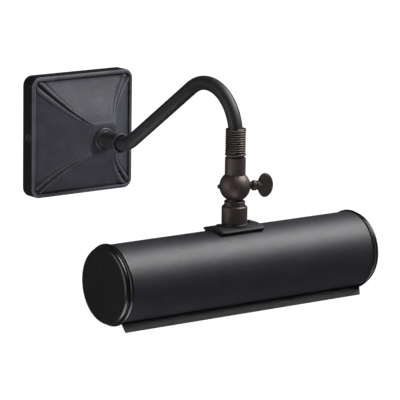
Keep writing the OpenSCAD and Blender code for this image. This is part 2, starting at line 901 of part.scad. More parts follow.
// Pressed bracket under the top of the shade, with a lug for each lamp holder.
module lamp_bracket() {
    lug_top = shade_z + bracket_in + 0.4;
    color(steel) difference() {
        union() {
            top_strip(bracket_out, bracket_in, bracket_half_angle, lug_x + bracket_thick / 2);
            for (side = [-1, 1]) intersection() {
                translate([side * lug_x - bracket_thick / 2, -arm_reach - lug_half_y, lug_bottom])
                    cube([bracket_thick, 2 * lug_half_y, lug_top - lug_bottom]);
                in_shade() cylinder(r = bracket_out - 0.3, h = 4 * lug_x, center = true);
            }
        }
        top_holes(nipple_r + hole_gap, m4_r + hole_gap);
        in_shade() cylinder(r = nipple_r + hole_gap, h = 4 * lug_x, center = true);
    }
}

module nipple_washer() {
    top = under_bracket(nipple_washer_r);
    color(steel) on_knuckle_axis() ring(nipple_washer_r, nipple_r + hole_gap, top - washer_thick, top);
}

module nipple_nut() {
    top = under_bracket(nipple_washer_r) - washer_thick;
    color(brass) on_knuckle_axis() hex_nut(m10_nut_flats, nipple_r + thread_gap, top - m10_nut_h, top);
}

// Lamp holder: a stepped round body, blind at the back but for the nipple's hole.
module lamp_holder() {
    color(porcelain) in_shade() rotate_extrude() polygon([
        [nipple_r + thread_gap, holder_back], [11.5, holder_back], [12.5, holder_back + 1],
        [12.5, holder_back + 7], [holder_r, holder_back + 8], [holder_r, holder_front - 7],
        [holder_step_r, holder_front - 6.4], [holder_step_r, holder_front - 0.8], [13.9, holder_front],
        [holder_bore, holder_front], [holder_bore, lamp_cap_back - 2],
        [nipple_r + thread_gap, lamp_cap_back - 2]
    ]);
}

module right_lamp_holder() lamp_holder();

module left_lamp_holder() mirror([1, 0, 0]) lamp_holder();

// Hollow nipples that hold the lamp holders on the bracket's lugs.
module holder_nipples() {
    color(brass) in_shade() for (side = [-1, 1]) mirror([0, 0, side > 0 ? 0 : 1])
        ring(nipple_r, stem_bore, lug_x - 5, lamp_cap_back - 4);
}

module holder_nuts() {
    back = lug_x - bracket_thick / 2 - 0.05;
    color(brass) in_shade() for (side = [-1, 1]) mirror([0, 0, side > 0 ? 0 : 1])
        hex_nut(m10_nut_flats, nipple_r + thread_gap, back - m10_nut_h, back);
}

// Screw cap of a lamp, with its contact at the back.
module lamp_cap() {
    color(brass) in_shade() rotate_extrude() polygon([
        [0, lamp_cap_back - 1], [2.2, lamp_cap_back - 1], [2.6, lamp_cap_back],
        [5.5, lamp_cap_back + 1.5], [lamp_cap_r - 0.3, lamp_cap_back + 4], [lamp_cap_r, lamp_cap_back + 6],
        [lamp_cap_r, bulb_base - 0.8], [bulb_neck_r - 0.4, bulb_base - 0.4], [bulb_neck_r - 0.4, bulb_base],
        [0, bulb_base]
    ]);
}

module right_lamp_cap() lamp_cap();

module left_lamp_cap() mirror([1, 0, 0]) lamp_cap();

// Half outline of the tubular bulb, drawn in by inset.
function bulb_outline(inset) =
    let (
        r = bulb_r - inset,
        base = bulb_base + inset,
        tip = lamp_tip - inset
    )
    concat(
        [[0, base], [bulb_neck_r - inset, base], [bulb_neck_r + 0.8 - inset, base + 2]],
        [[r - 0.6, base + 5], [r, base + 7]],
        [for (a = [0 : 11.25 : 90]) [r * cos(a), tip - r * dome_share * (1 - sin(a))]]
    );

module lamp_bulb() {
    color(glass) in_shade() difference() {
        rotate_extrude() polygon(bulb_outline(0));
        rotate_extrude() polygon(bulb_outline(bulb_wall));
    }
}

module right_lamp_bulb() lamp_bulb();

module left_lamp_bulb() mirror([1, 0, 0]) lamp_bulb();

// Sheathed lead down through the stem, the socket and the nipple.
module shade_lead() {
    color(sheath_black) on_knuckle_axis() rod(lead_r, nipple_end - 1, ball_z - ball_r - ball_gap - 1);
}

// Two cores from the end of the sheath into the back of each lamp holder.
module shade_lead_cores() {
    color(sheath_black) for (side = [-1, 1], row = [-1, 1]) {
        start = [side * core_offset, -arm_reach + row * core_offset, nipple_end - 1];
        end = [side * (lamp_cap_back - 5), -arm_reach + row * core_offset, shade_z];
        wire_along(curve(start, start + [0, 0, -18], end - [side * 24, 0, 0], end), core_r);
    }
}

wall_bracket();
earth_screw();
earth_washer();
terminal_block();
terminal_inserts();
terminal_screws();
terminal_fixing_screws();
wall_plate();
plate_side_screws();
arm_collar();
arm_washer();
arm_lock_nut();
arm_tube();
arm_lead();
arm_lead_cores();
coil_sleeve();
arm_ferrule();
arm_clip();
knuckle_top();
friction_ring();
thumb_screw();
knuckle_bottom();
stem_clip();
swivel_socket();
shade_nipple();
saddle();
saddle_screws();
saddle_nuts();
shade();
left_end_cap();
right_end_cap();
reflector();
lamp_bracket();
nipple_washer();
nipple_nut();
left_lamp_holder();
right_lamp_holder();
holder_nipples();
holder_nuts();
left_lamp_cap();
right_lamp_cap();
left_lamp_bulb();
right_lamp_bulb();
shade_lead();
shade_lead_cores();
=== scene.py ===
"""Looks of the picture light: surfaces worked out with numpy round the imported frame.

Lengths inside the classes are millimetres in the frame's own axes: the wall is the
plane y = 0, the light stands out along -Y, +X is to the right and +Z is up. They are
turned into metres once, when a surface becomes a mesh.
"""

import json
import logging
import math
from dataclasses import dataclass, replace
from enum import Enum

import bpy
import numpy as np
from mathutils import Matrix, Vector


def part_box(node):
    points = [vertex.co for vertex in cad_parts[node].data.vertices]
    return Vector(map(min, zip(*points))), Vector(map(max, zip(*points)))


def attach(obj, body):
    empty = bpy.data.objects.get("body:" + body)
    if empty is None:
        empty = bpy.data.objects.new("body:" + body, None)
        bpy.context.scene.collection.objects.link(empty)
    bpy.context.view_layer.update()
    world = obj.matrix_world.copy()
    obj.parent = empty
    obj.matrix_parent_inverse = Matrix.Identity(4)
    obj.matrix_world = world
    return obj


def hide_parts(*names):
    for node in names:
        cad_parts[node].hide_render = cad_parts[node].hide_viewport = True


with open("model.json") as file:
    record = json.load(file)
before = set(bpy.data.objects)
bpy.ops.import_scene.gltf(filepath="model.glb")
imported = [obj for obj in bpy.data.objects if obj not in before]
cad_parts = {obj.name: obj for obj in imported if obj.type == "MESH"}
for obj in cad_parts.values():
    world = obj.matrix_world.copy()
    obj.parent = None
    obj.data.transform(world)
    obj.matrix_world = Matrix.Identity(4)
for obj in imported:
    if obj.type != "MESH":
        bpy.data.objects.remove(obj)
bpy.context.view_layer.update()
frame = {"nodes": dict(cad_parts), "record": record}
LOG = logging.getLogger("picture_light")
MM = 0.001
TURN = 2 * math.pi
Tree = bpy.types.NodeTree
Socket = bpy.types.NodeSocket
Triple = tuple[float, float, float]


class Body(Enum):
    """The bodies of the frame that pieces ride on."""

    BASE = "base"
    SCREW = "screw"
    SHADE = "shade_head"


class Side(Enum):
    """The two ends of the shade, as the sign of x."""

    LEFT = -1
    RIGHT = 1


class Grain(Enum):
    """What a finish's relief looks like from close by."""

    PEBBLED = "pebbled"
    PAINTED = "painted"
    TURNED = "turned"
    BRUSHED = "brushed"
    SPANGLED = "spangled"
    MOULDED = "moulded"
    FIBROUS = "fibrous"
    CLEAR = "clear"


# ---------------------------------------------------------------- surfaces


@dataclass
class Skin:
    """A surface as points in millimetres with four-sided and three-sided faces."""

    points: np.ndarray
    quads: np.ndarray
    tris: np.ndarray

    def moved(self, turn: np.ndarray, shift: np.ndarray) -> "Skin":
        """The same surface with every point p carried to turn times p plus shift.

        Args:
            turn: a 3 x 3 matrix.
            shift: three lengths.

        Returns:
            The carried surface.
        """
        return Skin(self.points @ np.asarray(turn, float).T + np.asarray(shift, float), self.quads, self.tris)

    def joined(self, other: "Skin") -> "Skin":
        """Both surfaces as one mesh.

        Args:
            other: the surface to add.

        Returns:
            One surface that holds both.
        """
        base = len(self.points)
        return Skin(
            np.vstack([self.points, other.points]),
            np.vstack([self.quads, other.quads + base]),
            np.vstack([self.tris, other.tris + base]),
        )

    def volume(self) -> float:
        """Signed volume: a sixth of the sum of a . (b x c) over the triangles.

        Returns:
            Cubic millimetres, below zero if the faces point inwards.
        """
        corners = np.vstack([self.tris, self.quads[:, :3], self.quads[:, [0, 2, 3]]])
        a, b, c = (self.points[corners[:, k]] for k in range(3))
        return float(np.einsum("ij,ij->", a, np.cross(b, c)) / 6)

    def outward(self) -> "Skin":
        """The same closed surface with its faces turned to point out of it.

        Returns:
            This skin, or a copy with every face reversed.
        """
        if self.volume() >= 0:
            return self
        return Skin(self.points, self.quads[:, ::-1], self.tris[:, ::-1])


def lattice(rows: int, cols: int, wrap_rows: bool, wrap_cols: bool) -> np.ndarray:
    """Quads between the points of a grid, where point (i, j) has the index i * cols + j.

    Args:
        rows: number of rows of points.
        cols: number of points in a row.
        wrap_rows: join the last row to the first.
        wrap_cols: join the last column to the first.

    Returns:
        An array of quads, four indices each.
    """
    i, j = np.meshgrid(
        np.arange(rows if wrap_rows else rows - 1), np.arange(cols if wrap_cols else cols - 1), indexing="ij"
    )
    after_i, after_j = (i + 1) % rows, (j + 1) % cols
    quads = np.stack([i * cols + j, i * cols + after_j, after_i * cols + after_j, after_i * cols + j], -1)
    return quads.reshape(-1, 4)


def ring_surface(grid: np.ndarray, closed: bool) -> Skin:
    """A surface from rings of points, each ring closed on itself.

    Args:
        grid: rows x columns x 3 points; each row is one ring.
        closed: the last ring joins the first. If not, a pole in the middle of the first
            ring and one in the middle of the last close the two ends.

    Returns:
        A closed surface with its faces outwards.
    """
    rows, cols = grid.shape[:2]
    points = grid.reshape(-1, 3)
    quads = lattice(rows, cols, closed, True)
    tris = np.zeros((0, 3), int)
    if not closed:
        start, end = len(points), len(points) + 1
        points = np.vstack([points, grid[0].mean(0), grid[-1].mean(0)])
        here = np.arange(cols)
        after = (here + 1) % cols
        first = np.stack([np.full(cols, start), after, here], -1)
        last = (rows - 1) * cols
        second = np.stack([np.full(cols, end), last + here, last + after], -1)
        tris = np.vstack([first, second])
    return Skin(points, quads, tris).outward()


def rounded(corners: np.ndarray, radius: float, closed: bool = False, steps: int = 5) -> np.ndarray:
    """A line of straight pieces with its corners rounded.

    Each corner gives way to a quadratic curve that touches both sides at the length
    radius / tan(half the corner), or at 0.45 of the shorter side if that is less.

    Args:
        corners: n x 2 points.
        radius: the rounding.
        closed: the last point joins the first.
        steps: points on each rounded corner.

    Returns:
        The points of the rounded line.
    """
    corners = np.asarray(corners, float)
    before, after = np.roll(corners, 1, 0), np.roll(corners, -1, 0)
    to_before, to_after = before - corners, after - corners
    len_before = np.linalg.norm(to_before, axis=1, keepdims=True)
    len_after = np.linalg.norm(to_after, axis=1, keepdims=True)
    to_before, to_after = to_before / len_before, to_after / len_after
    cosine = np.clip((to_before * to_after).sum(1, keepdims=True), -0.9999, 0.9999)
    half = np.arccos(cosine) / 2
    touch = np.minimum(radius / np.tan(half), 0.45 * np.minimum(len_before, len_after))
    s = np.linspace(0, 1, steps)[None, :, None]
    start, end = (corners + to_before * touch)[:, None], (corners + to_after * touch)[:, None]
    curve = (1 - s) ** 2 * start + 2 * s * (1 - s) * corners[:, None] + s**2 * end
    if closed:
        return curve.reshape(-1, 2)
    inner = curve[1:-1].reshape(-1, 2)
    return np.vstack([corners[:1], inner, corners[-1:]])


def turned(profile: np.ndarray, sides: int, closed: bool) -> Skin:
    """A profile of (radius, height) carried round the z axis.

    The point at turn a is (radius cos a, radius sin a, height).

    Args:
        profile: n x 2 points. If not closed, its two ends lie on the axis.
        sides: points round the axis.
        closed: the profile is a closed line clear of the axis.

    Returns:
        A closed surface.
    """
    profile = np.asarray(profile, float)
    body = profile if closed else profile[1:-1]
    a = np.arange(sides) * TURN / sides
    radius, height = body[:, :1], body[:, 1:]
    grid = np.stack([radius * np.cos(a), radius * np.sin(a), height + 0 * a], -1)
    skin = ring_surface(grid, closed)
    if not closed:
        skin.points[-2:] = [[0, 0, profile[0, 1]], [0, 0, profile[-1, 1]]]
    return skin


def tube(path: np.ndarray, sideways: np.ndarray, radius: np.ndarray, sides: int) -> Skin:
    """A round rod along a path, closed by a pole at each end.

    The ring at a path point is the point plus radius times (cos a times the sideways
    direction, made square to the path, plus sin a times the third direction).

    Args:
        path: n x 3 points.
        sideways: one direction, or one for each point, not along the path.
        radius: one radius, or one for each point.
        sides: points round the rod.

    Returns:
        A closed surface.
    """
    along = np.gradient(path, axis=0)
    along /= np.linalg.norm(along, axis=1, keepdims=True)
    across = np.broadcast_to(sideways, path.shape).astype(float)
    across = across - (across * along).sum(1, keepdims=True) * along
    across /= np.linalg.norm(across, axis=1, keepdims=True)
    third = np.cross(along, across)
    a = (np.arange(sides) * TURN / sides)[None, :, None]
    r = np.broadcast_to(np.asarray(radius, float), len(path))[:, None, None]
    grid = path[:, None] + r * (np.cos(a) * across[:, None] + np.sin(a) * third[:, None])
    return ring_surface(grid, False)


def pipe(path: np.ndarray, sideways: np.ndarray, outer: float, inner: float, sides: int) -> Skin:
    """A round pipe along a path: the outer wall out along it and the inner wall back.

    Args:
        path: n x 3 points.
        sideways: a direction that is never along the path.
        outer: outer radius.
        inner: bore radius.
        sides: points round the pipe.

    Returns:
        A closed surface with a ring face at each end.
    """
    out = tube(path, sideways, outer, sides).points[: len(path) * sides]
    back = tube(path, sideways, inner, sides).points[: len(path) * sides]
    grid = np.vstack([out.reshape(-1, sides, 3), back.reshape(-1, sides, 3)[::-1]])
    return ring_surface(grid, True)


def rounded_plate(half_x: float, half_y: float, corner: float, thick: float, edge: float) -> Skin:
    """A flat plate from z = 0 up to z = thick, with rounded corners and rounded edges.

    Each ring is the plate's outline drawn in by some inset. The rings run from the
    middle of the top out to the edge, round it, and back to the middle of the bottom.

    Args:
        half_x: half the length along x.
        half_y: half the length along y.
        corner: corner radius of the outline.
        thick: the plate's thickness.
        edge: rounding of the long edges.

    Returns:
        A closed surface.
    """
    a = np.linspace(0, math.pi / 2, 6)
    inset = np.concatenate([np.linspace(min(half_x, half_y) - 0.2, edge, 10), edge * (1 - np.sin(a[1:]))])
    height = np.concatenate([np.full(10, thick), thick - edge * (1 - np.cos(a[1:]))])
    inset = np.concatenate([inset, inset[::-1]])
    height = np.concatenate([height, thick - height[::-1]])
    unit = square_walk(24)
    rings = outline_rings(unit, half_x - inset, half_y - inset, np.maximum(corner - inset, 0.1))
    grid = np.dstack([rings, np.broadcast_to(height[:, None], rings.shape[:2])])
    return ring_surface(grid, False)


def square_walk(per_side: int, middle: float = 0.0) -> np.ndarray:
    """Points round a square whose half side is 1, closer together near its corners.

    Along a side the place is w (3 - w w) / 2 for even steps of w from -1 to 1.

    Args:
        per_side: points along each side.
        middle: if more than 0, extra points lie this near to the middle of each side.

    Returns:
        n x 2 points, in order.
    """
    w = np.linspace(-1, 1, per_side, endpoint=False)
    if middle > 0:
        w = np.union1d(w, np.linspace(-middle, middle, 25))
    place = w * (3 - w * w) / 2
    one = np.ones_like(place)
    sides = ((one, place), (-place, one), (-one, -place), (place, -one))
    return np.vstack([np.stack(side, -1) for side in sides])


def outline_rings(unit: np.ndarray, half_x: np.ndarray, half_y: np.ndarray, corner: np.ndarray) -> np.ndarray:
    """Rectangles with round corners, one for each given size.

    A point of the unit square is scaled to the rectangle. Where it lies in a corner it
    moves along the line from the corner's centre until it is the radius away.

    Args:
        unit: m x 2 points round a square whose half side is 1.
        half_x: half lengths along x.
        half_y: half lengths along y.
        corner: corner radii.

    Returns:
        n x m x 2 points.
    """
    half = np.stack([half_x, half_y], -1)[:, None, :] * np.ones((1, len(unit), 1))
    radius = np.minimum(corner[:, None, None], half.min(-1, keepdims=True))
    place = unit[None] * half
    centre = np.clip(place, -(half - radius), half - radius)
    out = place - centre
    length = np.linalg.norm(out, axis=-1, keepdims=True)
    return centre + out * radius / np.maximum(length, 1e-9)


def bezier(
    start: np.ndarray, leave: np.ndarray, arrive: np.ndarray, end: np.ndarray, steps: int
) -> np.ndarray:
    """Points on a cubic curve from start to end with its handles at leave and arrive."""
    t = np.linspace(0, 1, steps)[:, None]
    return (1 - t) ** 3 * start + 3 * t * (1 - t) ** 2 * leave + 3 * t * t * (1 - t) * arrive + t**3 * end


# ---------------------------------------------------------------- finishes


@dataclass(frozen=True)
class Finish:
    """One of the light's finishes, as a node material on Object coordinates."""

    slot: str
    grain: Grain
    colour: Triple
    patch: Triple
    rough: tuple[float, float]
    metallic: float = 0.0
    grain_scale: float = 900.0
    patch_scale: float = 60.0
    relief: float = 0.00005
    strength: float = 0.5
    coat: float = 0.0
    coat_rough: float = 0.1
    specular: float = 0.5
    clear: float = 0.0
    # A lighter colour painted on convex edges: a painted highlight.
    painted_edge_highlight: Triple | None = None
    # A darker colour painted on faces square to the wall: painted shade.
    painted_side_shade: Triple | None = None
    highlight_pointiness: tuple[float, float] = (0.53, 0.62)

    def build(self) -> bpy.types.Material:
        """The finish as a new material.

        Returns:
            A material whose colour, roughness and relief all vary over the surface.
        """
        made = bpy.data.materials.new(self.slot if self.painted_edge_highlight is None else self.slot + "_painted_edge_highlight")
        made.use_nodes = True
        tree = made.node_tree
        tree.nodes.clear()
        out = tree.nodes.new("ShaderNodeOutputMaterial")
        shader = tree.nodes.new("ShaderNodeBsdfPrincipled")
        tree.links.new(shader.outputs["BSDF"], out.inputs["Surface"])
        shader.inputs["Metallic"].default_value = self.metallic
        shader.inputs["Specular IOR Level"].default_value = self.specular
        shader.inputs["Coat Weight"].default_value = self.coat
        shader.inputs["Coat Roughness"].default_value = self.coat_rough
        shader.inputs["Transmission Weight"].default_value = self.clear
        place = tree.nodes.new("ShaderNodeTexCoord").outputs["Object"]
        patches = self._noise(tree, place, self.patch_scale, 4.0)
        colour = self._blend(tree, self._ramp(tree, patches, 0.38, 0.66), self.colour, self.patch)
        # Convex edges are painted lighter: a painted highlight on the beads and rim.
        if self.painted_edge_highlight is not None:
            colour = self._painted_edge_highlight(tree, colour, patches)
        # Faces square to the wall, the plate's skirt, are painted darker with a lower specular level: painted
        # shade.
        if self.painted_side_shade is not None:
            side_shade = self._side_shade_share(tree)
            colour = self._blend(tree, side_shade, colour, self.painted_side_shade)
            dimmed_side_sheen = self._span(tree, side_shade, (self.specular, self.specular * 0.5))
            tree.links.new(dimmed_side_sheen, shader.inputs["Specular IOR Level"])
        tree.links.new(colour, shader.inputs["Base Color"])
        relief = self._relief(tree, place)
        tree.links.new(self._span(tree, relief, self.rough), shader.inputs["Roughness"])
        bump = tree.nodes.new("ShaderNodeBump")
        bump.inputs["Strength"].default_value = self.strength
        bump.inputs["Distance"].default_value = self.relief
        tree.links.new(relief, bump.inputs["Height"])
        tree.links.new(bump.outputs["Normal"], shader.inputs["Normal"])
        return made

    def _relief(self, tree: Tree, place: Socket) -> Socket:
        """Height of the finish's fine relief, from 0 to 1.

        Args:
            tree: the material's nodes.
            place: where on the piece.

        Returns:
            The height's socket.
        """
        scale = self.grain_scale
        if self.grain is Grain.PEBBLED:
            cells = tree.nodes.new("ShaderNodeTexVoronoi")
            cells.feature = "SMOOTH_F1"
            cells.inputs["Scale"].default_value = scale
            cells.inputs["Smoothness"].default_value = 0.9
            cells.inputs["Randomness"].default_value = 1.0
            tree.links.new(place, cells.inputs["Vector"])
            broad = self._noise(tree, place, scale * 0.45, 3.0)
            both = self._math(tree, "ADD", cells.outputs["Distance"], broad)
            return self._math(tree, "MULTIPLY", both, 0.55)
        if self.grain is Grain.SPANGLED:
            cells = tree.nodes.new("ShaderNodeTexVoronoi")
            cells.inputs["Scale"].default_value = scale
            tree.links.new(place, cells.inputs["Vector"])
            split = tree.nodes.new("ShaderNodeSeparateColor")
            tree.links.new(cells.outputs["Color"], split.inputs[0])
            return split.outputs[0]
        stretch = {
            Grain.TURNED: (0.25, 0.25, 3.0),
            Grain.BRUSHED: (0.04, 1.0, 1.0),
            Grain.FIBROUS: (1.0, 0.3, 1.0),
        }.get(self.grain, (1.0, 1.0, 1.0))
        mapping = tree.nodes.new("ShaderNodeMapping")
        mapping.inputs["Scale"].default_value = stretch
        tree.links.new(place, mapping.inputs["Vector"])
        detail = 2.0 if self.grain in (Grain.PAINTED, Grain.MOULDED, Grain.CLEAR) else 5.0
        return self._noise(tree, mapping.outputs["Vector"], scale, detail)

    @staticmethod
    def _noise(tree: Tree, place: Socket, scale: float, detail: float) -> Socket:
        """A noise over the piece.

        Args:
            tree: the material's nodes.
            place: where on the piece.
            scale: features in a metre.
            detail: octaves.

        Returns:
            The noise's factor socket.
        """
        noise = tree.nodes.new("ShaderNodeTexNoise")
        noise.inputs["Scale"].default_value = scale
        noise.inputs["Detail"].default_value = detail
        noise.inputs["Roughness"].default_value = 0.6
        tree.links.new(place, noise.inputs["Vector"])
        return noise.outputs["Fac"]

    @staticmethod
    def _math(tree: Tree, operation: str, first: Socket, second: Socket | float = 0.0) -> Socket:
        """The outcome of one operation on a value and a second value or a number.

        Args:
            tree: the material's nodes.
            operation: what the node does.
            first: the socket it works on.
            second: its other input, if the operation takes one.

        Returns:
            The result's socket.
        """
        node = tree.nodes.new("ShaderNodeMath")
        node.operation = operation
        tree.links.new(first, node.inputs[0])
        if isinstance(second, float):
            node.inputs[1].default_value = second
        else:
            tree.links.new(second, node.inputs[1])
        return node.outputs[0]

    @staticmethod
    def _ramp(tree: Tree, value: Socket, low: float, high: float) -> Socket:
        """The value spread smoothly so that low becomes 0 and high becomes 1.

        Args:
            tree: the material's nodes.
            value: the socket to spread.
            low: the value that becomes 0.
            high: the value that becomes 1.

        Returns:
            The spread value's socket.
        """
        spread = tree.nodes.new("ShaderNodeMapRange")
        spread.interpolation_type = "SMOOTHSTEP"
        spread.inputs["From Min"].default_value = low
        spread.inputs["From Max"].default_value = high
        tree.links.new(value, spread.inputs["Value"])
        return spread.outputs["Result"]

    @staticmethod
    def _span(tree: Tree, value: Socket, ends: tuple[float, float]) -> Socket:
        """The value's middle stretch carried to the span between the two ends.

        Args:
            tree: the material's nodes.
            value: the socket to carry over.
            ends: the two numbers it runs between.

        Returns:
            The carried value's socket.
        """
        spread = tree.nodes.new("ShaderNodeMapRange")
        spread.inputs["From Min"].default_value = 0.25
        spread.inputs["From Max"].default_value = 0.75
        spread.inputs["To Min"].default_value = ends[0]
        spread.inputs["To Max"].default_value = ends[1]
        tree.links.new(value, spread.inputs["Value"])
        return spread.outputs["Result"]

    @staticmethod
    def _blend(tree: Tree, share: Socket, first: Triple | Socket, second: Triple) -> Socket:
        """A colour between first and second.

        Args:
            tree: the material's nodes.
            share: how much of the second there is.
            first: a colour or a colour socket.
            second: a colour.

        Returns:
            The mixed colour's socket.
        """
        mix = tree.nodes.new("ShaderNodeMix")
        mix.data_type = "RGBA"
        tree.links.new(share, mix.inputs["Factor"])
        if isinstance(first, tuple):
            mix.inputs["A"].default_value = (*first, 1.0)
        else:
            tree.links.new(first, mix.inputs["A"])
        mix.inputs["B"].default_value = (*second, 1.0)
        return mix.outputs["Result"]

    def _side_shade_share(self, tree: Tree) -> Socket:
        """How far the surface is turned away from the wall's own direction, 0 to 1; it places the painted
        shade on the sides.

        Args:
            tree: the material's nodes.

        Returns:
            The share's socket, 1 on faces square to the wall.
        """
        facing = tree.nodes.new("ShaderNodeTexCoord").outputs["Normal"]
        split = tree.nodes.new("ShaderNodeSeparateXYZ")
        tree.links.new(facing, split.inputs[0])
        return self._ramp(tree, self._math(tree, "ABSOLUTE", split.outputs["Y"]), 0.62, 0.22)

    def _painted_edge_highlight(self, tree: Tree, colour: Socket, patches: Socket) -> Socket:
        """The colour with its convex edges painted lighter where the patches allow: a painted highlight on
        the beads and rim.

        Args:
            tree: the material's nodes.
            colour: the finish's colour.
            patches: a broad noise that breaks the painted highlight up.

        Returns:
            The socket of the colour with its painted highlight.
        """
        edge = tree.nodes.new("ShaderNodeNewGeometry").outputs["Pointiness"]
        highlighted = self._math(tree, "MULTIPLY", self._ramp(tree, edge, *self.highlight_pointiness), patches)
        return self._blend(tree, highlighted, colour, self.painted_edge_highlight)


# The plate's convex edges get a painted highlight and its skirt painted shade.
CAST = Finish(
    "cast_black", Grain.PEBBLED, (0.046, 0.047, 0.058), (0.060, 0.061, 0.075), (0.50, 0.66),
    grain_scale=760, patch_scale=45, relief=0.0003, strength=0.6, specular=0.20,
    painted_edge_highlight=(0.165, 0.165, 0.19), highlight_pointiness=(0.508, 0.535), painted_side_shade=(0.008, 0.008, 0.010),
)
SATIN = Finish(
    "satin_black", Grain.PAINTED, (0.007, 0.007, 0.009), (0.012, 0.012, 0.015), (0.48, 0.62),
    grain_scale=1400, patch_scale=90, relief=0.00007, strength=0.5, specular=0.55,
)
SHADE_PAINT = Finish(
    "shade_black", Grain.PEBBLED, (0.0105, 0.0112, 0.0160), (0.0155, 0.0163, 0.0225), (0.45, 0.57),
    grain_scale=900, patch_scale=40, relief=0.00016, strength=0.75,
)
CAP_PAINT = Finish(
    "cap_black", Grain.PAINTED, (0.0038, 0.0036, 0.0034), (0.0060, 0.0056, 0.0054), (0.22, 0.31),
    grain_scale=1500, patch_scale=50, relief=0.00003, strength=0.14,
)
BRONZE = Finish(
    "dark_bronze", Grain.TURNED, (0.102, 0.082, 0.076), (0.080, 0.064, 0.060), (0.46, 0.58),
    metallic=0.72, grain_scale=700, patch_scale=110, relief=0.00004, strength=0.4,
)
ZINC = Finish(
    "zinc_steel", Grain.SPANGLED, (0.52, 0.53, 0.55), (0.40, 0.41, 0.44), (0.30, 0.46),
    metallic=1.0, grain_scale=260, patch_scale=80, relief=0.00002, strength=0.25,
)
BRASS = Finish(
    "brass", Grain.TURNED, (0.62, 0.44, 0.19), (0.45, 0.30, 0.12), (0.22, 0.38),
    metallic=1.0, grain_scale=900, patch_scale=140, relief=0.00003, strength=0.35,
)
LAMP_METAL = Finish(
    "lamp_cap_metal", Grain.BRUSHED, (0.60, 0.60, 0.61), (0.50, 0.50, 0.52), (0.22, 0.36),
    metallic=1.0, grain_scale=1200, patch_scale=120, relief=0.00002, strength=0.3,
)
NYLON = Finish(
    "nylon", Grain.MOULDED, (0.72, 0.70, 0.63), (0.66, 0.64, 0.57), (0.42, 0.55),
    grain_scale=1100, patch_scale=150, relief=0.00003, strength=0.3,
)
SHEATH = Finish(
    "cable_sheath", Grain.MOULDED, (0.020, 0.020, 0.021), (0.028, 0.028, 0.029), (0.48, 0.62),
    grain_scale=1500, patch_scale=160, relief=0.00003, strength=0.35,
)
CORE = Finish(
    "core_insulation", Grain.MOULDED, (0.16, 0.06, 0.025), (0.12, 0.045, 0.02), (0.36, 0.48),
    grain_scale=1600, patch_scale=200, relief=0.00002, strength=0.3,
)
FIBRE = Finish(
    "fibre", Grain.FIBROUS, (0.11, 0.075, 0.045), (0.16, 0.11, 0.07), (0.70, 0.88),
    grain_scale=1300, patch_scale=220, relief=0.00008, strength=0.6,
)
REFLECTOR = Finish(
    "reflector_metal", Grain.BRUSHED, (0.80, 0.80, 0.79), (0.72, 0.72, 0.72), (0.18, 0.32),
    metallic=1.0, grain_scale=900, patch_scale=30, relief=0.00002, strength=0.3,
)
CERAMIC = Finish(
    "holder_white", Grain.MOULDED, (0.76, 0.75, 0.70), (0.70, 0.69, 0.64), (0.16, 0.26),
    grain_scale=700, patch_scale=60, relief=0.00003, strength=0.25, coat=0.4,
)
GLASS = Finish(
    "lamp_glass", Grain.CLEAR, (0.95, 0.96, 0.95), (0.90, 0.91, 0.90), (0.24, 0.36),
    grain_scale=500, patch_scale=50, relief=0.00002, strength=0.2, clear=0.85,
)
WIRE = replace(BRONZE, colour=(0.125, 0.099, 0.091), patch=(0.090, 0.071, 0.065), rough=(0.42, 0.54))
CORE_BLUE = replace(CORE, colour=(0.02, 0.08, 0.30), patch=(0.02, 0.06, 0.24))
CORE_GREEN = replace(CORE, colour=(0.05, 0.22, 0.05), patch=(0.55, 0.48, 0.05), patch_scale=70)
FINISHES = (
    CAST, SATIN, SHADE_PAINT, CAP_PAINT, BRONZE, ZINC, BRASS, LAMP_METAL,
    NYLON, SHEATH, CORE, FIBRE, REFLECTOR, CERAMIC, GLASS,
)


class Wardrobe:
    """Builds each finish once and puts it on pieces and carried-over nodes."""

    def __init__(self) -> None:
        """Starts with no material built."""
        self._made: dict[Finish, bpy.types.Material] = {}

    def material(self, finish: Finish) -> bpy.types.Material:
        """The material of a finish, built on first use.

        Args:
            finish: the finish to look up.

        Returns:
            The material, the same one on every call.
        """
        if finish not in self._made:
            self._made[finish] = finish.build()
        return self._made[finish]

    def dress(self, piece: bpy.types.Object, finish: Finish) -> None:
        """Gives a piece one finish all over, in place of any it had."""
        piece.data.materials.clear()
        piece.data.materials.append(self.material(finish))

    def dress_nodes(self) -> int:
        """Gives every node of the frame that still shows its slot's finish.

        Returns:
            How many nodes were dressed.
        """
        by_slot = {finish.slot: replace(finish, painted_edge_highlight=None) for finish in FINISHES}
        slots = {row["node"]: row["material_slot"] for row in frame["record"]["subparts"]}
        shown = {name: node for name, node in frame["nodes"].items() if not node.hide_render}
        for name, node in shown.items():
            self.dress(node, by_slot[slots[name]])
        return len(shown)


WARDROBE = Wardrobe()


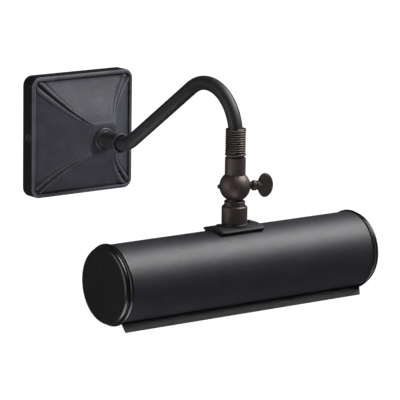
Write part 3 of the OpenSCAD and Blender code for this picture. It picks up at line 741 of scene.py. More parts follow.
def make_piece(
    name: str,
    skin: Skin,
    finish: Finish,
    body: Body,
    stands_for: tuple[str, ...] = (),
    sharp: float = 38.0,
) -> bpy.types.Object:
    """Puts a surface into the scene as a finished piece.

    Args:
        name: the piece's name.
        skin: its closed surface, in millimetres in the frame's axes.
        finish: what it is covered with.
        body: the body it rides on.
        stands_for: the nodes it replaces.
        sharp: edges bent by more than this many degrees stay sharp.

    Returns:
        The new object, at the origin, with its place in its mesh.
    """
    skin = skin.outward()
    mesh = bpy.data.meshes.new(name)
    mesh.vertices.add(len(skin.points))
    mesh.vertices.foreach_set("co", (skin.points * MM).astype(np.float32).ravel())
    corners = np.concatenate([skin.quads.ravel(), skin.tris.ravel()]).astype(np.int32)
    sizes = np.concatenate([np.full(len(skin.quads), 4), np.full(len(skin.tris), 3)])
    starts = (np.cumsum(sizes) - sizes).astype(np.int32)
    mesh.loops.add(len(corners))
    mesh.loops.foreach_set("vertex_index", corners)
    mesh.polygons.add(len(sizes))
    mesh.polygons.foreach_set("loop_start", starts)
    mesh.update(calc_edges=True)
    mesh.validate()
    mesh.shade_smooth()
    mesh.set_sharp_from_angle(angle=math.radians(sharp))
    piece = bpy.data.objects.new(name, mesh)
    bpy.context.scene.collection.objects.link(piece)
    WARDROBE.dress(piece, finish)
    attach(piece, body.value)
    if stands_for:
        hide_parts(*stands_for)
    LOG.info("%s: %d points on %s", name, len(skin.points), body.value)
    return piece


def box_mm(node: str) -> tuple[np.ndarray, np.ndarray]:
    """Lowest and highest corner of a node of the frame, in millimetres."""
    low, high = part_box(node)
    return np.array(low) / MM, np.array(high) / MM


OUTWARD = np.array([[1, 0, 0], [0, 0, -1], [0, 1, 0]], float)
ALONG_X = np.array([[0, 0, 1], [0, 1, 0], [-1, 0, 0]], float)
UPRIGHT = np.eye(3)
NOWHERE = np.zeros(3)
X_WAY = np.array([1.0, 0.0, 0.0])
Z_WAY = np.array([0.0, 0.0, 1.0])
BARELY = 0.03  # the air or overlap that keeps two faces from lying in one plane


def smooth(t: np.ndarray) -> np.ndarray:
    """The value 3 t t - 2 t t t, which leaves 0 and reaches 1 level."""
    return t * t * (3 - 2 * t)


def hump(q: np.ndarray, middle: float, width: float) -> np.ndarray:
    """A bell of height 1 at the middle: exp(-((q - middle) / width)^2)."""
    return np.exp(-(((q - middle) / width) ** 2))


def ray(angle: float, radius: float) -> np.ndarray:
    """The point of a plane at an angle and a radius."""
    return radius * np.array([math.cos(angle), math.sin(angle)])


def beside(angle: float) -> np.ndarray:
    """The direction a quarter turn ahead of the ray at an angle."""
    return np.array([-math.sin(angle), math.cos(angle)])


def spun_about_z(degrees: float) -> np.ndarray:
    """The matrix of a turn about the z axis."""
    c, s = math.cos(math.radians(degrees)), math.sin(math.radians(degrees))
    return np.array([[c, -s, 0], [s, c, 0], [0, 0, 1]])


# ---------------------------------------------------------------- wall plate


@dataclass
class WallPlate:
    """Cast cover on the wall, its side screws and the turned collar on its boss."""

    floor: float = 13.2
    corner: float = 8.0
    sag: float = 3.8
    boss_half: float = 13.0
    foot_half: float = 46.4
    hole: float = 5.85
    wall: float = 2.3
    shell: float = 3.0
    bead_height: float = 2.5
    crease: float = 0.30
    valley: float = 0.16
    boss_blend: float = 0.8
    floor_blend: float = 2.6
    band_foot: float = 5.6
    band_boss: float = 2.2
    screw_depth: float = 8.2
    screw_pocket: float = 3.9

    def __post_init__(self) -> None:
        """Takes the plate's side and rise from the frame."""
        low, high = box_mm("wall_plate")
        self.half = float(high[0])
        self.rise = float(-low[1])

    def build(self) -> None:
        """Makes the casting and the collar."""
        make_piece("plate_casting", self.casting(), CAST, Body.BASE, ("wall_plate",), sharp=60)
        make_piece("collar_turning", self.collar(), SATIN, Body.BASE, ("arm_collar",))

    def flank(self, m: np.ndarray) -> np.ndarray:
        """Height of the pyramid's hollow flank at distance m from the middle.

        A straight run from the foot to the boss is drawn in square to itself by
        sag * 4 t (1 - t), and carried straight on past both ends.

        Args:
            m: the larger of |x| and |y|.

        Returns:
            Heights above the wall.
        """
        t = np.linspace(-0.12, 1.12, 125)
        foot, top = np.array([self.foot_half, self.floor]), np.array([self.boss_half, self.rise])
        run = top - foot
        across = np.array([-run[1], run[0]]) / np.linalg.norm(run)
        inside = np.clip(t, 0, 1)
        bow = self.sag * 4 * inside * (1 - inside)
        points = foot + run * t[:, None] + across * bow[:, None]
        order = np.argsort(points[:, 0])
        return np.interp(m, points[order, 0], points[order, 1])

    def band(self, along: np.ndarray) -> np.ndarray:
        """Half width of the band of two beads at a distance along the diagonal."""
        share = np.clip((along / math.sqrt(2) - self.boss_half) / (self.foot_half - self.boss_half), 0, 1)
        return self.band_boss + (self.band_foot - self.band_boss) * share**1.15

    def height(self, x: np.ndarray, y: np.ndarray) -> np.ndarray:
        """Height of the pyramid with its beads over a point of the plate.

        The pyramid takes the flank at max(|x|, |y|). Inside the band it is level across
        the diagonal, and two rounded beads stand on it at half the band's width, with a
        valley between them and a crease outside each. Soft minimum and maximum blend it
        into the flat boss and the groove's floor.

        Args:
            x: distances to the right.
            y: distances up.

        Returns:
            Heights above the wall.
        """
        ax, ay = np.abs(x), np.abs(y)
        off = np.abs(ax - ay) / math.sqrt(2)
        along = (ax + ay) / math.sqrt(2)
        width = self.band(along)
        m = np.where(off < width, (along + width) / math.sqrt(2), np.maximum(ax, ay))
        slope = self.flank(m)
        soft, firm = self.boss_blend, self.floor_blend
        base = -np.logaddexp(-soft * slope, -soft * self.rise) / soft
        base = np.logaddexp(firm * base, firm * self.floor) / firm
        q = off / width
        bead = hump(q, 0.5, 0.22) - self.crease * hump(q, 1.0, 0.16) - self.valley * hump(q, 0.0, 0.2)
        reach = along / math.sqrt(2)
        grow = 0.42 + 0.58 * np.clip((reach - self.boss_half) / (self.foot_half - self.boss_half), 0, 1)
        fade_in = np.clip((reach - self.boss_half + 0.6) / 2.2, 0, 1)
        fade_out = np.clip((self.foot_half + 0.9 - np.maximum(ax, ay)) / 1.6, 0, 1)
        return base + self.bead_height * bead * grow * smooth(fade_in) * smooth(fade_out)

    def casting(self) -> Skin:
        """The whole casting: rings out over the boss, flanks, groove and rim, down the
        skirt, and back up inside to the hole. Each ring is a square with round corners;
        on the front its height comes from height().

        Returns:
            A closed surface.
        """
        front = np.concatenate([
            [self.hole, 7.6, 9.2, 10.4, 11.2], np.linspace(11.8, 14.4, 12),
            np.linspace(15.0, 44.6, 50), np.linspace(45.1, 46.9, 7),
        ])
        front_corner = np.interp(
            front, [self.hole, 9.0, 12.0, 16, 44, 46.9], [self.hole, 5.5, 2.6, 0.8, 0.8, 2.2]
        )
        edge = np.array([
            (47.15, 13.22), (47.32, 13.45), (47.42, 13.9), (47.52, 14.3), (47.8, 14.58), (48.25, 14.7),
            (49.0, 14.68), (49.7, 14.5), (50.3, 14.12), (50.72, 13.55), (50.94, 12.9), (51.0, 12.2),
        ])
        down = 12.9 - 0.42 * np.arange(2, 24)
        side = np.vstack([
            np.stack([np.full(len(down), 51.0), down], -1), [(51, 2.2), (51, 0.9), (50.85, 0.3), (50.4, 0.0)],
        ])
        inner = np.array([
            (48.9, 0.0), (48.7, 0.3), (48.7, 5.0), (48.7, 11.0), (48.3, 11.5), (46.0, 11.5), (44.4, 11.5),
        ])
        under = np.linspace(44.0, 12.2, 14)
        inside_h = np.concatenate([inner[:, 0], under, [10.6, 8.5, self.hole]])
        lowered = np.minimum(self.flank(under + 2.4) - self.shell * 0.9, self.rise - self.shell)
        inside_d = np.concatenate([inner[:, 1], np.maximum(lowered, 11.5), [self.rise - self.shell] * 3])
        half = np.concatenate([front, edge[:, 0], side[:, 0], inside_h])
        corner = np.concatenate([
            front_corner,
            np.interp(edge[:, 0], [47.1, 51], [2.8, self.corner]),
            np.full(len(side), self.corner),
            np.interp(inside_h, [self.hole, 12, 44, 48.7], [self.hole, 2.6, 2.0, self.corner - self.wall]),
        ])
        corner[-1] = self.hole
        unit = square_walk(72, 0.09)
        rings = outline_rings(unit, half, half, corner)
        levels = np.concatenate([np.zeros(len(front)), edge[:, 1], side[:, 1], inside_d])
        depth = levels[:, None] * np.ones((1, len(unit)))
        n = len(front)
        depth[:n] = self.height(rings[:n, :, 0], rings[:n, :, 1])
        self._pocket(rings, depth, slice(n, n + len(edge) + len(side)))
        return ring_surface(np.dstack([rings, depth]), True).moved(OUTWARD, NOWHERE)

    def _pocket(self, rings: np.ndarray, depth: np.ndarray, rows: slice) -> None:
        """Sinks a cone into the left and right skirt round each side screw.

        Args:
            rings: the casting's ring points, changed in place.
            depth: their heights above the wall.
            rows: the rings of the skirt.
        """
        x, y = rings[rows, :, 0], rings[rows, :, 1]
        away = np.hypot(y, depth[rows] - self.screw_depth)
        sunk = np.clip((self.screw_pocket - away) * 1.15, 0, 2.05)
        on_side = np.abs(x) > self.half - 0.6
        rings[rows, :, 0] = x - np.sign(x) * np.where(on_side, sunk, 0)

    def collar(self) -> Skin:
        """The collar: its outline turned about the arm, from the boss to the front ring.

        Returns:
            A closed surface.
        """
        low, _ = box_mm("arm_collar")
        back, front = self.rise, float(-low[1])
        bore = self.hole - 0.1
        outline = np.array([
            (bore, back), (9.35, back), (9.45, back + 1.9), (8.5, back + 2.55), (6.9, back + 2.75),
            (6.35, back + 3.2), (6.45, back + 4.1), (6.8, back + 5.2), (6.8, front - 4.2), (7.1, front - 3.5),
            (7.9, front - 3.1), (8.4, front - 2.3), (8.4, front - 0.9), (7.7, front - 0.1), (6.6, front),
            (bore, front - 0.8),
        ])
        return turned(rounded(outline, 0.45, True, 4), 96, True).moved(OUTWARD, NOWHERE)


# ---------------------------------------------------------------- arm


@dataclass
class Arm:
    """Bent tube with its lead, the coil and ferrule at its end, and its cores."""

    radius: float = 5.7
    bore: float = 4.4
    start: float = 31.0
    knee_reach: float = 78.2
    rise_deg: float = 34.5
    knee_bend: float = 30.0
    crook_bend: float = 37.3
    wire: float = 0.85
    wire_squash: float = 0.72
    coil_turns: float = 11.0
    core: float = 0.95
    pole_pitch: float = 8.0

    def __post_init__(self) -> None:
        """Takes the knuckle's axis and the tube's lower end from the frame."""
        low, high = box_mm("arm_ferrule")
        self.axis_y = float((low[1] + high[1]) / 2)
        self.end_z = float(box_mm("arm_tube")[0][2])

    def build(self) -> None:
        """Makes the tube, the coil, the ferrule and the cores."""
        bent = pipe(self.centreline(), X_WAY, self.radius, self.bore, 56)
        make_piece("arm_pipe", bent, SATIN, Body.BASE, ("arm_tube",))
        make_piece("coil_winding", self.coil(), WIRE, Body.BASE, ("coil_sleeve",))
        # A dark sleeve stands in for the shade in the coil's gaps: painted shade.
        make_piece("coil_gap_shade", self.gap_shade_sleeve(), SATIN, Body.BASE)
        make_piece("ferrule_turning", self.ferrule(), BRONZE, Body.BASE, ("arm_ferrule",))
        self.cores()

    def centreline(self) -> np.ndarray:
        """The tube's centreline: straight, a bend up at the knee, straight, the crook
        over the top, and straight down to the knuckle.

        Returns:
            n x 3 points.
        """
        rise = math.radians(self.rise_deg)
        tangent = self.knee_bend * math.tan(rise / 2)
        knee = self.knee_reach - tangent
        up = np.linspace(0, rise, 14)
        knee_arc = np.stack([knee + self.knee_bend * np.sin(up), self.knee_bend * (1 - np.cos(up))], -1)
        reach = -self.axis_y
        crook_s = reach - self.crook_bend
        begin_s = crook_s - self.crook_bend * math.sin(rise)
        begin_z = (begin_s - self.knee_reach) * math.tan(rise)
        heading = np.linspace(rise, -math.pi / 2, 44)
        centre_z = begin_z - self.crook_bend * math.cos(rise)
        crook = np.stack([
            crook_s - self.crook_bend * np.sin(heading), centre_z + self.crook_bend * np.cos(heading)
        ], -1)
        s = np.concatenate([np.linspace(self.start, knee - 0.6, 10), knee_arc[:, 0]])
        z = np.concatenate([np.zeros(10), knee_arc[:, 1]])
        gap = np.linspace(0, 1, 22)[1:-1]
        s = np.concatenate([s, s[-1] + gap * (begin_s - s[-1]), crook[:, 0]])
        z = np.concatenate([z, z[-1] + gap * (begin_z - z[-1]), crook[:, 1]])
        down = np.linspace(z[-1], self.end_z, 8)[1:]
        s, z = np.concatenate([s, np.full(7, reach)]), np.concatenate([z, down])
        return np.stack([np.zeros_like(s), -s, z], -1)

    def coil(self) -> Skin:
        """Close-wound wire: a left-handed helix with a level half turn at each end.

        The point at turn a is (r cos a, -r sin a) round the arm, and its height grows
        with a but for the half turns at the ends. The top end lifts off a little. The
        wire is flattened along the arm, so that a dark line shows between the turns.

        Returns:
            A closed surface.
        """
        low, high = box_mm("coil_sleeve")
        r = float(high[0]) - self.wire
        bottom, top = float(low[2]) + self.wire, float(high[2]) - self.wire
        turns = np.linspace(0, self.coil_turns, int(44 * self.coil_turns))
        rise = np.clip((turns - 0.5) / (self.coil_turns - 1.0), 0, 1)
        a = turns * TURN + 2.2
        lift = np.clip(turns - self.coil_turns + 0.09, 0, 1)
        z = bottom + (top - bottom - 0.1) * rise + 1.5 * lift**1.3
        out = r + 1.2 * lift
        path = np.stack([out * np.cos(a), self.axis_y - out * np.sin(a), z / self.wire_squash], -1)
        to_end = np.minimum(turns, self.coil_turns - turns)
        radius = self.wire * np.sqrt(np.clip(to_end / 0.012 + 0.25, 0, 1))
        return tube(path, Z_WAY, radius, 12).moved(np.diag([1.0, 1.0, self.wire_squash]), NOWHERE)

    def gap_shade_sleeve(self) -> Skin:
        """A dark sleeve that fills the space between the arm and the coil: painted shade in the gaps between
        the turns.

        Returns:
            A closed surface.
        """
        low, high = box_mm("coil_sleeve")
        bottom, top = float(low[2]) + self.wire, float(high[2]) - self.wire
        bore, outer = self.radius + BARELY, float(high[0]) - self.wire - 0.5
        outline = np.array([(bore, bottom), (outer, bottom), (outer, top), (bore, top)])
        return turned(outline, 64, True).moved(UPRIGHT, [0, self.axis_y, 0])

    def ferrule(self) -> Skin:
        """The ring that the coil stands on, with a chamfered shoulder and a neck.

        Returns:
            A closed surface.
        """
        low, high = box_mm("arm_ferrule")
        bottom, top, wide = float(low[2]), float(high[2]), float(high[0])
        bore = self.radius + BARELY
        outline = np.array([
            (bore, bottom), (6.9, bottom), (6.9, bottom + 1.1), (7.5, bottom + 1.25), (wide, bottom + 1.9),
            (wide, top - 0.55), (wide - 0.4, top), (bore, top),
        ])
        return turned(rounded(outline, 0.22, True, 4), 80, True).moved(UPRIGHT, [0, self.axis_y, 0])

    def cores(self) -> None:
        """Makes the three insulated cores from the lead's end down to the block."""
        low, high = box_mm("terminal_inserts")
        barrel_y = float(low[1] + high[1]) / 2
        mouth_z = float((low[2] + high[2]) / 2) + 5.0
        lead_y = float(box_mm("arm_lead")[1][1])
        for pole, finish, name in ((-1, CORE, "live"), (0, CORE_GREEN, "earth"), (1, CORE_BLUE, "neutral")):
            start = np.array([pole * 1.25, lead_y, 1.1 if pole == 0 else -0.6])
            end = np.array([pole * self.pole_pitch, barrel_y, mouth_z])
            path = bezier(start, start + [0, 17, 0], end + [0, 0, 20], end, 40)
            core = tube(path, np.array([1.0, 0.2, 0.1]), self.core, 14)
            nodes = ("arm_lead_cores",) if pole == 0 else ()
            make_piece(f"{name}_core", core, finish, Body.BASE, nodes)


# ---------------------------------------------------------------- knuckle


@dataclass
class Knuckle:
    """Thumb screw and socket; the two halves of the ball come with the frame."""

    turn_deg: float = -22.0
    paddle_mid: float = 24.7
    paddle_length: float = 6.4
    paddle_height: float = 9.7
    paddle_thick: float = 2.8
    dish: float = 0.28

    def __post_init__(self) -> None:
        """Takes the ball's centre from the frame."""
        low, high = box_mm("friction_ring")
        self.centre = (low + high) / 2

    def build(self) -> None:
        """Makes the thumb screw and the socket."""
        make_piece("thumb_screw_turning", self.thumb_screw(), BRONZE, Body.SCREW, ("thumb_screw",))
        make_piece("socket_turning", self.socket(), BRONZE, Body.SHADE, ("swivel_socket",))

    def thumb_screw(self) -> Skin:
        """A turned shaft along the screw's axis, and an oval paddle at its end.

        The paddle is rings of an oval that grow from the middle of one face to the rim
        and shrink again on the other: at share u of the way out the half thickness is
        half the paddle's thickness times (1 - u^9)^0.5, less a shallow dish in the face.

        Returns:
            Two closed surfaces in one mesh.
        """
        outline = np.array([
            (0, -14.1), (0.95, -14.1), (1.75, -13.35), (1.75, -11.9), (1.95, -11.8), (1.95, 12.5),
            (3.0, 12.6), (3.0, 13.75), (3.7, 13.85), (4.1, 14.4), (4.1, 16.6), (3.75, 17.15), (3.1, 17.35),
            (3.35, 17.55), (3.75, 18.0), (3.75, 18.9), (3.1, 19.6), (2.2, 20.6), (1.0, 22.5), (0, 22.6),
        ])
        shaft = turned(rounded(outline, 0.25, False, 4), 64, False).moved(ALONG_X, NOWHERE)
        rim = 1 - 0.15 * (1 - np.sin(np.linspace(0.15, math.pi / 2, 10)))
        u = np.concatenate([np.linspace(0.06, 0.85, 12), rim])
        face = self.paddle_thick / 2 * np.sqrt(np.clip(1 - u**9, 0, 1))
        thick = face - self.dish * smooth(np.clip(1 - u / 0.82, 0, 1))
        u, thick = np.concatenate([u, u[-2::-1]]), np.concatenate([thick, -thick[-2::-1]])
        a = np.arange(72) * TURN / 72
        egg = 1 - 0.05 * np.cos(a)
        wide = self.paddle_length * np.cos(a)[None] * u[:, None]
        tall = self.paddle_height * (np.sin(a) * egg)[None] * u[:, None]
        grid = np.stack([self.paddle_mid + wide, np.broadcast_to(thick[:, None], wide.shape), tall], -1)
        return shaft.joined(ring_surface(grid, False)).moved(spun_about_z(self.turn_deg), self.centre)

    def socket(self) -> Skin:
        """The turned cup under the knuckle, with softened rims and a fine groove near its foot.

        Returns:
            A closed surface.
        """
        low, high = box_mm("swivel_socket")
        r, bottom, top = float(high[0]), float(low[2]), float(high[2])
        outline = np.array([
            (6.06, top), (r - 1.0, top), (r, top - 0.9), (r, bottom + 1.3), (r - 0.35, bottom + 1.1),
            (r - 0.35, bottom + 0.7), (r, bottom + 0.5), (r, bottom), (8.35, bottom), (8.35, top - 3.3),
            (6.06, top - 3.3),
        ])
        return turned(rounded(outline, 0.3, True, 4), 96, True).moved(UPRIGHT, [0, self.centre[1], 0])


# ---------------------------------------------------------------- shade


@dataclass
class Shade:
    """Rolled shade with its lips and end caps, and the saddle on its back."""

    wall: float = 0.8
    front_deg: float = -26.0
    rear_deg: float = 76.0
    lip: float = 7.8
    lip_margin: float = 2.5
    fold: float = 0.5
    groove: float = 2.2
    groove_deg: float = 3.4
    saddle_thick: float = 1.8
    saddle_half_y: float = 13.5
    screw_x: float = 15.0

    def __post_init__(self) -> None:
        """Takes the shade's axis, radius and length from the frame."""
        high = box_mm("shade")[1]
        cap_low, cap_high = box_mm("right_end_cap")
        self.half = float(high[0])
        self.face = float(cap_high[0])
        self.centre = np.array([0, (cap_low[1] + cap_high[1]) / 2, (cap_low[2] + cap_high[2]) / 2])
        self.radius = float(high[2] - self.centre[2])
        saddle_high = box_mm("saddle")[1]
        self.saddle_half_x = float(saddle_high[0])
        self.saddle_radius = float(saddle_high[2] - self.centre[2])

    def build(self) -> None:
        """Makes the shade, its caps, the saddle and the saddle's screws."""
        make_piece("shade_sheet", self.sheet(), SHADE_PAINT, Body.SHADE, ("shade",))
        for side in Side:
            name = side.name.lower()
            make_piece(f"{name}_cap_spinning", self.cap(side), CAP_PAINT, Body.SHADE, (f"{name}_end_cap",))
        make_piece("saddle_pressing", self.saddle(), SATIN, Body.SHADE, ("saddle",))
        make_piece("saddle_screw_heads", self.screws(), SATIN, Body.SHADE, ("saddle_screws",))

    def sheet(self) -> Skin:
        """The sheet: a bent line across the shade, given its thickness, carried along x.

        The line runs in along the front lip, turns through the fold, follows the roll
        round the back of the shade, and runs out along the rear lip.

        Returns:
            A closed surface.
        """
        mid = self.radius - self.wall / 2
        tip = self.radius + self.lip
        front, rear = math.radians(self.front_deg), math.radians(self.rear_deg)
        front_in, rear_in = beside(front) * -0.5, beside(rear) * 0.5
        rim = front - math.radians(self.groove_deg)
        turns = np.linspace(rim, rear - TURN + 0.06, 150)
        roll = mid * np.stack([np.cos(turns), np.sin(turns)], -1)
        low = mid - self.groove
        lip_top, lip_foot = (ray(front, r) + front_in for r in (tip, low))
        into = np.vstack([lip_top, lip_foot, ray(rim + 0.02, low), roll[0], roll[3]])
        out = np.vstack([roll[-4], roll[-1], ray(rear, mid) + rear_in, ray(rear, tip) + rear_in])
        into, out = (rounded(bent, self.fold, False, 6) for bent in (into, out))
        line = np.vstack([into[:-1], roll[3:-4], out[1:]])
        slope = np.gradient(line, axis=0)
        slope /= np.linalg.norm(slope, axis=1, keepdims=True)
        across = np.stack([-slope[:, 1], slope[:, 0]], -1)
        out_by = np.linalg.norm(line, axis=1) - self.radius
        thick = self.wall + 0.2 * np.clip(out_by / 2, 0, 1)[:, None]
        ring = np.vstack([line + across * thick / 2, (line - across * thick / 2)[::-1]])
        n = len(line)
        short = np.clip(np.concatenate([out_by, out_by[::-1]]) / 1.2, 0, 1) * self.lip_margin
        reach = np.linspace(-1, 1, 80)[:, None]
        x = reach * (self.half - short)[None]
        grid = np.dstack([np.broadcast_to(ring[:, 0], x.shape), np.broadcast_to(ring[:, 1], x.shape), x])
        quads = lattice(80, 2 * n, False, True)
        here = np.arange(n - 1)
        strip = np.stack([here, here + 1, 2 * n - 2 - here, 2 * n - 1 - here], -1)
        last = 79 * 2 * n
        quads = np.vstack([quads, strip, strip[:, ::-1] + last])
        skin = Skin(grid.reshape(-1, 3), quads, np.zeros((0, 3), int))
        return skin.moved(ALONG_X, self.centre)

    def cap(self, side: Side) -> Skin:
        """A spun cap: a flat disc, a rolled rim, a groove, a proud ring and a sleeve.

        Args:
            side: which end of the shade it closes.

        Returns:
            A closed surface.
        """
        sleeve = self.radius - self.wall - 0.08
        rim = [(0, 0), (28.1, 0), (29.35, 0.6), (30.2, 1.9), (30.2, 2.8), (29.3, 3.4)]
        bead = [(29.3, 3.8), (30.3, 3.95), (31.3, 4.55), (31.9, 5.5), (31.9, 6.1), (31.3, 6.5)]
        inner = sleeve - 0.8
        tail = [(sleeve, 6.5), (sleeve, 13), (inner, 13), (inner, 1.3), (0, 1.3)]
        outline = np.array(rim + bead + tail, float)
        outline[:, 1] = self.face - outline[:, 1]
        skin = turned(rounded(outline, 0.5, False, 6), 144, False)
        return skin.moved(ALONG_X @ np.diag([1.0, 1.0, float(side.value)]), self.centre)

    def saddle(self) -> Skin:
        """The arched plate with the land under it and the seat for the socket.

        A flat plate is rolled over the shade: y becomes radius times the sine of
        y / radius, and the height is carried out along the same turned direction.

        Returns:
            Three closed surfaces in one mesh.
        """
        low = self.saddle_radius - self.saddle_thick
        plate = rounded_plate(self.saddle_half_x, self.saddle_half_y * 1.027, 1.6, self.saddle_thick, 0.45)
        land_thick = low - self.radius + 0.4
        land = rounded_plate(self.saddle_half_x - 0.3, self.saddle_half_y - 0.7, 1.4, land_thick, 0.2)
        plate.points[:, 2] += low
        land.points[:, 2] += self.radius + 0.05
        both = plate.joined(land)
        a = both.points[:, 1] / self.saddle_radius
        r = both.points[:, 2]
        rolled = np.stack([both.points[:, 0], r * np.sin(a), r * np.cos(a)], -1)
        seat_r = float(box_mm("swivel_socket")[1][0]) + 0.3
        foot, top = low - 0.8, self.saddle_radius - 0.02
        outline = np.array([(0, foot), (seat_r, foot), (seat_r, top), (0, top)])
        seat = turned(rounded(outline, 0.15, False, 3), 72, False)
        return Skin(rolled, both.quads, both.tris).joined(seat).moved(UPRIGHT, self.centre)

    def screws(self) -> Skin:
        """Domed heads with a slot, and their shanks down through the shade.

        A head's height at distance r is its dome, less a slot 0.9 mm deep whose sides
        fall over a sixth of a millimetre, and never less than 0.3 mm.

        Returns:
            Four closed surfaces in one mesh.
        """
        low, high = box_mm("saddle_screws")
        head_r, top = 2.5, float(high[2])
        bottom, foot = self.centre[2] + self.saddle_radius, float(low[2])
        over_edge = head_r - 0.3 * (1 - np.sin(np.linspace(0.2, math.pi / 2, 6)))
        r = np.concatenate([np.linspace(0.12, head_r - 0.3, 18), over_edge])
        a = np.arange(96) * TURN / 96
        x, y = r[:, None] * np.cos(a), r[:, None] * np.sin(a)
        rim = np.clip((r - head_r + 0.3) / 0.3, 0, 1)
        fall = 0.25 * (1 - np.sqrt(np.clip(1 - rim**2, 0, 1)))
        dome = (top - bottom) * (0.55 + 0.45 * (1 - (r / head_r) ** 2)) - fall
        slot = smooth(np.clip((0.42 - np.abs(x)) / 0.16, 0, 1)) * 0.9
        height = bottom + np.maximum(dome[:, None] - slot, 0.3)
        cap = np.stack([x, y, height], -1)
        base = np.stack([head_r * np.cos(a), head_r * np.sin(a), np.full(96, bottom)], -1)[None]
        head = ring_surface(np.vstack([cap, base]), False)
        neck = bottom + 0.2
        shank = turned(np.array([(0, neck), (1.94, neck), (1.94, foot), (0, foot)]), 32, False)
        one = head.joined(shank)
        left = one.moved(UPRIGHT, [-self.screw_x, self.centre[1], 0])
        right = one.moved(spun_about_z(60), [self.screw_x, self.centre[1], 0])
        return left.joined(right)


# ---------------------------------------------------------------- lamps


@dataclass
class Lamps:
    """What is inside the tubular lamps and behind them: stems, filaments and cores."""

    core: float = 0.95

    def build(self) -> None:
        """Makes the filament group of each lamp and the cores in the shade."""
        for side in Side:
            make_piece(f"{side.name.lower()}_filament", self.filament(side), LAMP_METAL, Body.SHADE)
        self.cores()

    def filament(self, side: Side) -> Skin:
        """A glass-pinched stem with two posts and a fine coiled filament between them.

        Args:
            side: which lamp it belongs to.

        Returns:
            Closed surfaces in one mesh.
        """
        low, high = box_mm(f"{side.name.lower()}_lamp_bulb")
        y, z = float((low[1] + high[1]) / 2), float((low[2] + high[2]) / 2)
        base = float(min(abs(low[0]), abs(high[0])))
        outline = np.array([(0, 0.9), (5.6, 0.9), (3.2, 5.0), (1.9, 12.0), (1.6, 16.0), (0, 16.4)])
        stem = turned(rounded(outline, 1.0, False, 5), 28, False)
        t = np.linspace(0, 1, 360)
        a, arch = t * TURN * 30, 38 + 4.5 * np.sin(t * math.pi)
        coil = np.stack([0.45 * np.cos(a), -4.2 + 8.4 * t, arch + 0.45 * np.sin(a)], -1)
        made = stem.joined(tube(coil, np.array([1.0, 0.3, 0.2]), 0.09, 5))
        for end in (-1, 1):
            foot, tip = np.array([0, end * 1.2, 13.0]), np.array([0, end * 4.2, 38.0])
            post = bezier(foot, foot + [0, end * 3, 6], tip - [0, 0, 8], tip, 20)
            made = made.joined(tube(post, X_WAY, 0.25, 8))
        to_x = ALONG_X @ np.diag([1.0, 1.0, float(side.value)])
        return made.moved(to_x, [side.value * base, y, z])

    def cores(self) -> None:
        """Makes the two pairs of cores from the lead's end to the lamp holders."""
        lead_low, lead_high = box_mm("shade_lead")
        cap_low, cap_high = box_mm("right_end_cap")
        y, top = float((lead_low[1] + lead_high[1]) / 2), float(lead_low[2])
        axis_z = float((cap_low[2] + cap_high[2]) / 2)
        reach = float(box_mm("shade_lead_cores")[1][0])
        for side in Side:
            for row, finish, word in ((-1, CORE, "live"), (1, CORE_BLUE, "neutral")):
                start = np.array([side.value * 1.25, y + row * 1.25, top])
                end = np.array([side.value * reach, y + row * 1.25, axis_z])
                path = bezier(start, start + [0, 0, -18], end - [side.value * 24, 0, 0], end, 36)
                nodes = ("shade_lead_cores",) if side is Side.LEFT and row < 0 else ()
                core = tube(path, np.array([0.1, 1.0, 0.1]), self.core, 14)
                make_piece(f"{side.name.lower()}_{word}_core", core, finish, Body.SHADE, nodes)


# ---------------------------------------------------------------- studio


@dataclass(frozen=True)
class Softbox:
    """A rectangular studio light that faces the object."""

    name: str
    towards: Triple
    distance: float
    size: tuple[float, float]
    power: float
    colour: Triple = (1.0, 1.0, 1.0)

    def build(self, target: np.ndarray) -> None:
        """Hangs the light at its distance from the target and turns it to face it.

        Args:
            target: the point it faces, in metres.
        """
        data = bpy.data.lights.new(self.name, "AREA")
        data.shape = "RECTANGLE"
        data.size, data.size_y = self.size
        data.energy = self.power
        data.color = self.colour
        lamp = bpy.data.objects.new(self.name, data)
        direction = np.array(self.towards) / np.linalg.norm(self.towards)
        right = np.cross([0, 0, 1.0], direction)
        right /= np.linalg.norm(right)
        up = np.cross(direction, right)
        place = np.eye(4)
        place[:3] = np.stack([right, up, direction, target + direction * self.distance], -1)
        lamp.matrix_world = Matrix(place.tolist())
        bpy.context.scene.collection.objects.link(lamp)


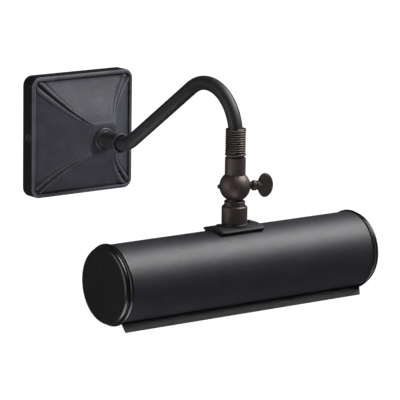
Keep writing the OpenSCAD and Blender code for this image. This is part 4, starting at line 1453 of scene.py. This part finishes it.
@dataclass
class Studio:
    """Camera, soft lights, a pale floor and a pale backdrop."""

    azimuth: float = 37.149
    elevation: float = 11.352
    roll: float = 0.87
    distance: float = 2.3989
    lens: float = 259.95
    floor_drop: float = 1.9
    backdrop: float = 8.0
    ambient: float = 0.09
    aim: Triple = (0.0606, -0.0980, -0.0493)
    lit: Triple = (0.0, -0.16, -0.02)

    def build(self) -> None:
        """Makes the whole studio."""
        self.camera()
        self.world()
        self.stage()
        target = np.array(self.lit)
        for box in self.lights():
            box.build(target)

    def camera(self) -> None:
        """Makes the camera, aimed at a point near the middle of the object."""
        a, e, r = (math.radians(v) for v in (self.azimuth, self.elevation, self.roll))
        back = np.array([-math.sin(a) * math.cos(e), -math.cos(a) * math.cos(e), math.sin(e)])
        right = np.array([math.cos(a), -math.sin(a), 0.0])
        up = np.cross(back, right)
        place = np.eye(4)
        place[:3, 0] = right * math.cos(r) + up * math.sin(r)
        place[:3, 1] = -right * math.sin(r) + up * math.cos(r)
        place[:3, 2] = back
        place[:3, 3] = np.array(self.aim) + back * self.distance
        data = bpy.data.cameras.new("view")
        data.lens = self.lens
        data.sensor_width = 36.0
        camera = bpy.data.objects.new("view", data)
        camera.matrix_world = Matrix(place.tolist())
        bpy.context.scene.collection.objects.link(camera)
        bpy.context.scene.camera = camera
        bpy.context.scene.view_settings.view_transform = "Standard"

    def lights(self) -> tuple[Softbox, ...]:
        """The softboxes: a key high on the right, and fills on both sides and below.

        Returns:
            The key, the left, the right and the low softbox.
        """
        return (
            Softbox("key", (0.60, -0.30, 0.75), 1.6, (1.2, 1.0), 44.0),
            Softbox("left_fill", (-0.96, 0.16, 0.10), 1.8, (1.5, 1.4), 12.5),
            Softbox("right_fill", (0.85, 0.10, 0.0), 1.8, (0.6, 1.4), 1.1),
            Softbox("low_fill", (-0.45, -0.30, -0.85), 1.5, (1.1, 1.1), 18.5),
        )

    def world(self) -> None:
        """A dim even light from all round."""
        world = bpy.data.worlds.new("ambient")
        world.use_nodes = True
        world.node_tree.nodes["Background"].inputs["Color"].default_value = (0.95, 0.97, 1.0, 1.0)
        world.node_tree.nodes["Background"].inputs["Strength"].default_value = self.ambient
        bpy.context.scene.world = world

    def stage(self) -> None:
        """A pale floor far below the light, inside a pale dome."""
        pale = bpy.data.materials.new("pale_paper")
        pale.use_nodes = True
        shader = pale.node_tree.nodes["Principled BSDF"]
        shader.inputs["Base Color"].default_value = (0.9, 0.9, 0.9, 1.0)
        shader.inputs["Roughness"].default_value = 0.9
        shader.inputs["Emission Color"].default_value = (1.0, 1.0, 1.0, 1.0)
        shader.inputs["Emission Strength"].default_value = 1.0
        a = np.radians(np.linspace(-86, 86, 40))
        wall = self.backdrop * np.stack([np.cos(a), np.sin(a)], -1)
        dome = turned(np.vstack([[(0, -self.backdrop)], wall, [(0, self.backdrop)]]), 64, False)
        reach, thick = self.backdrop * 0.93, 0.02
        slab = np.array([(0, 0), (reach, 0), (reach, -thick), (0, -thick)])
        floor = turned(slab, 96, False).moved(UPRIGHT, [0, 0, -self.floor_drop])
        for name, skin in (("backdrop", dome), ("floor", floor)):
            mesh = bpy.data.meshes.new(name)
            mesh.from_pydata(skin.points.tolist(), [], skin.quads.tolist() + skin.tris.tolist())
            mesh.materials.append(pale)
            piece = bpy.data.objects.new(name, mesh)
            piece.visible_diffuse = piece.visible_glossy = piece.visible_shadow = False
            bpy.context.scene.collection.objects.link(piece)


def main() -> None:
    """Builds the studio and every sub-assembly, then dresses the frame's own nodes."""
    logging.basicConfig(level=logging.INFO, format="%(name)s %(message)s")
    Studio().build()
    for assembly in (WallPlate(), Arm(), Knuckle(), Shade(), Lamps()):
        assembly.build()
        LOG.info("%s is built", type(assembly).__name__)
    LOG.info("%d nodes of the frame are dressed", WARDROBE.dress_nodes())


if __name__ == "__main__":
    main()
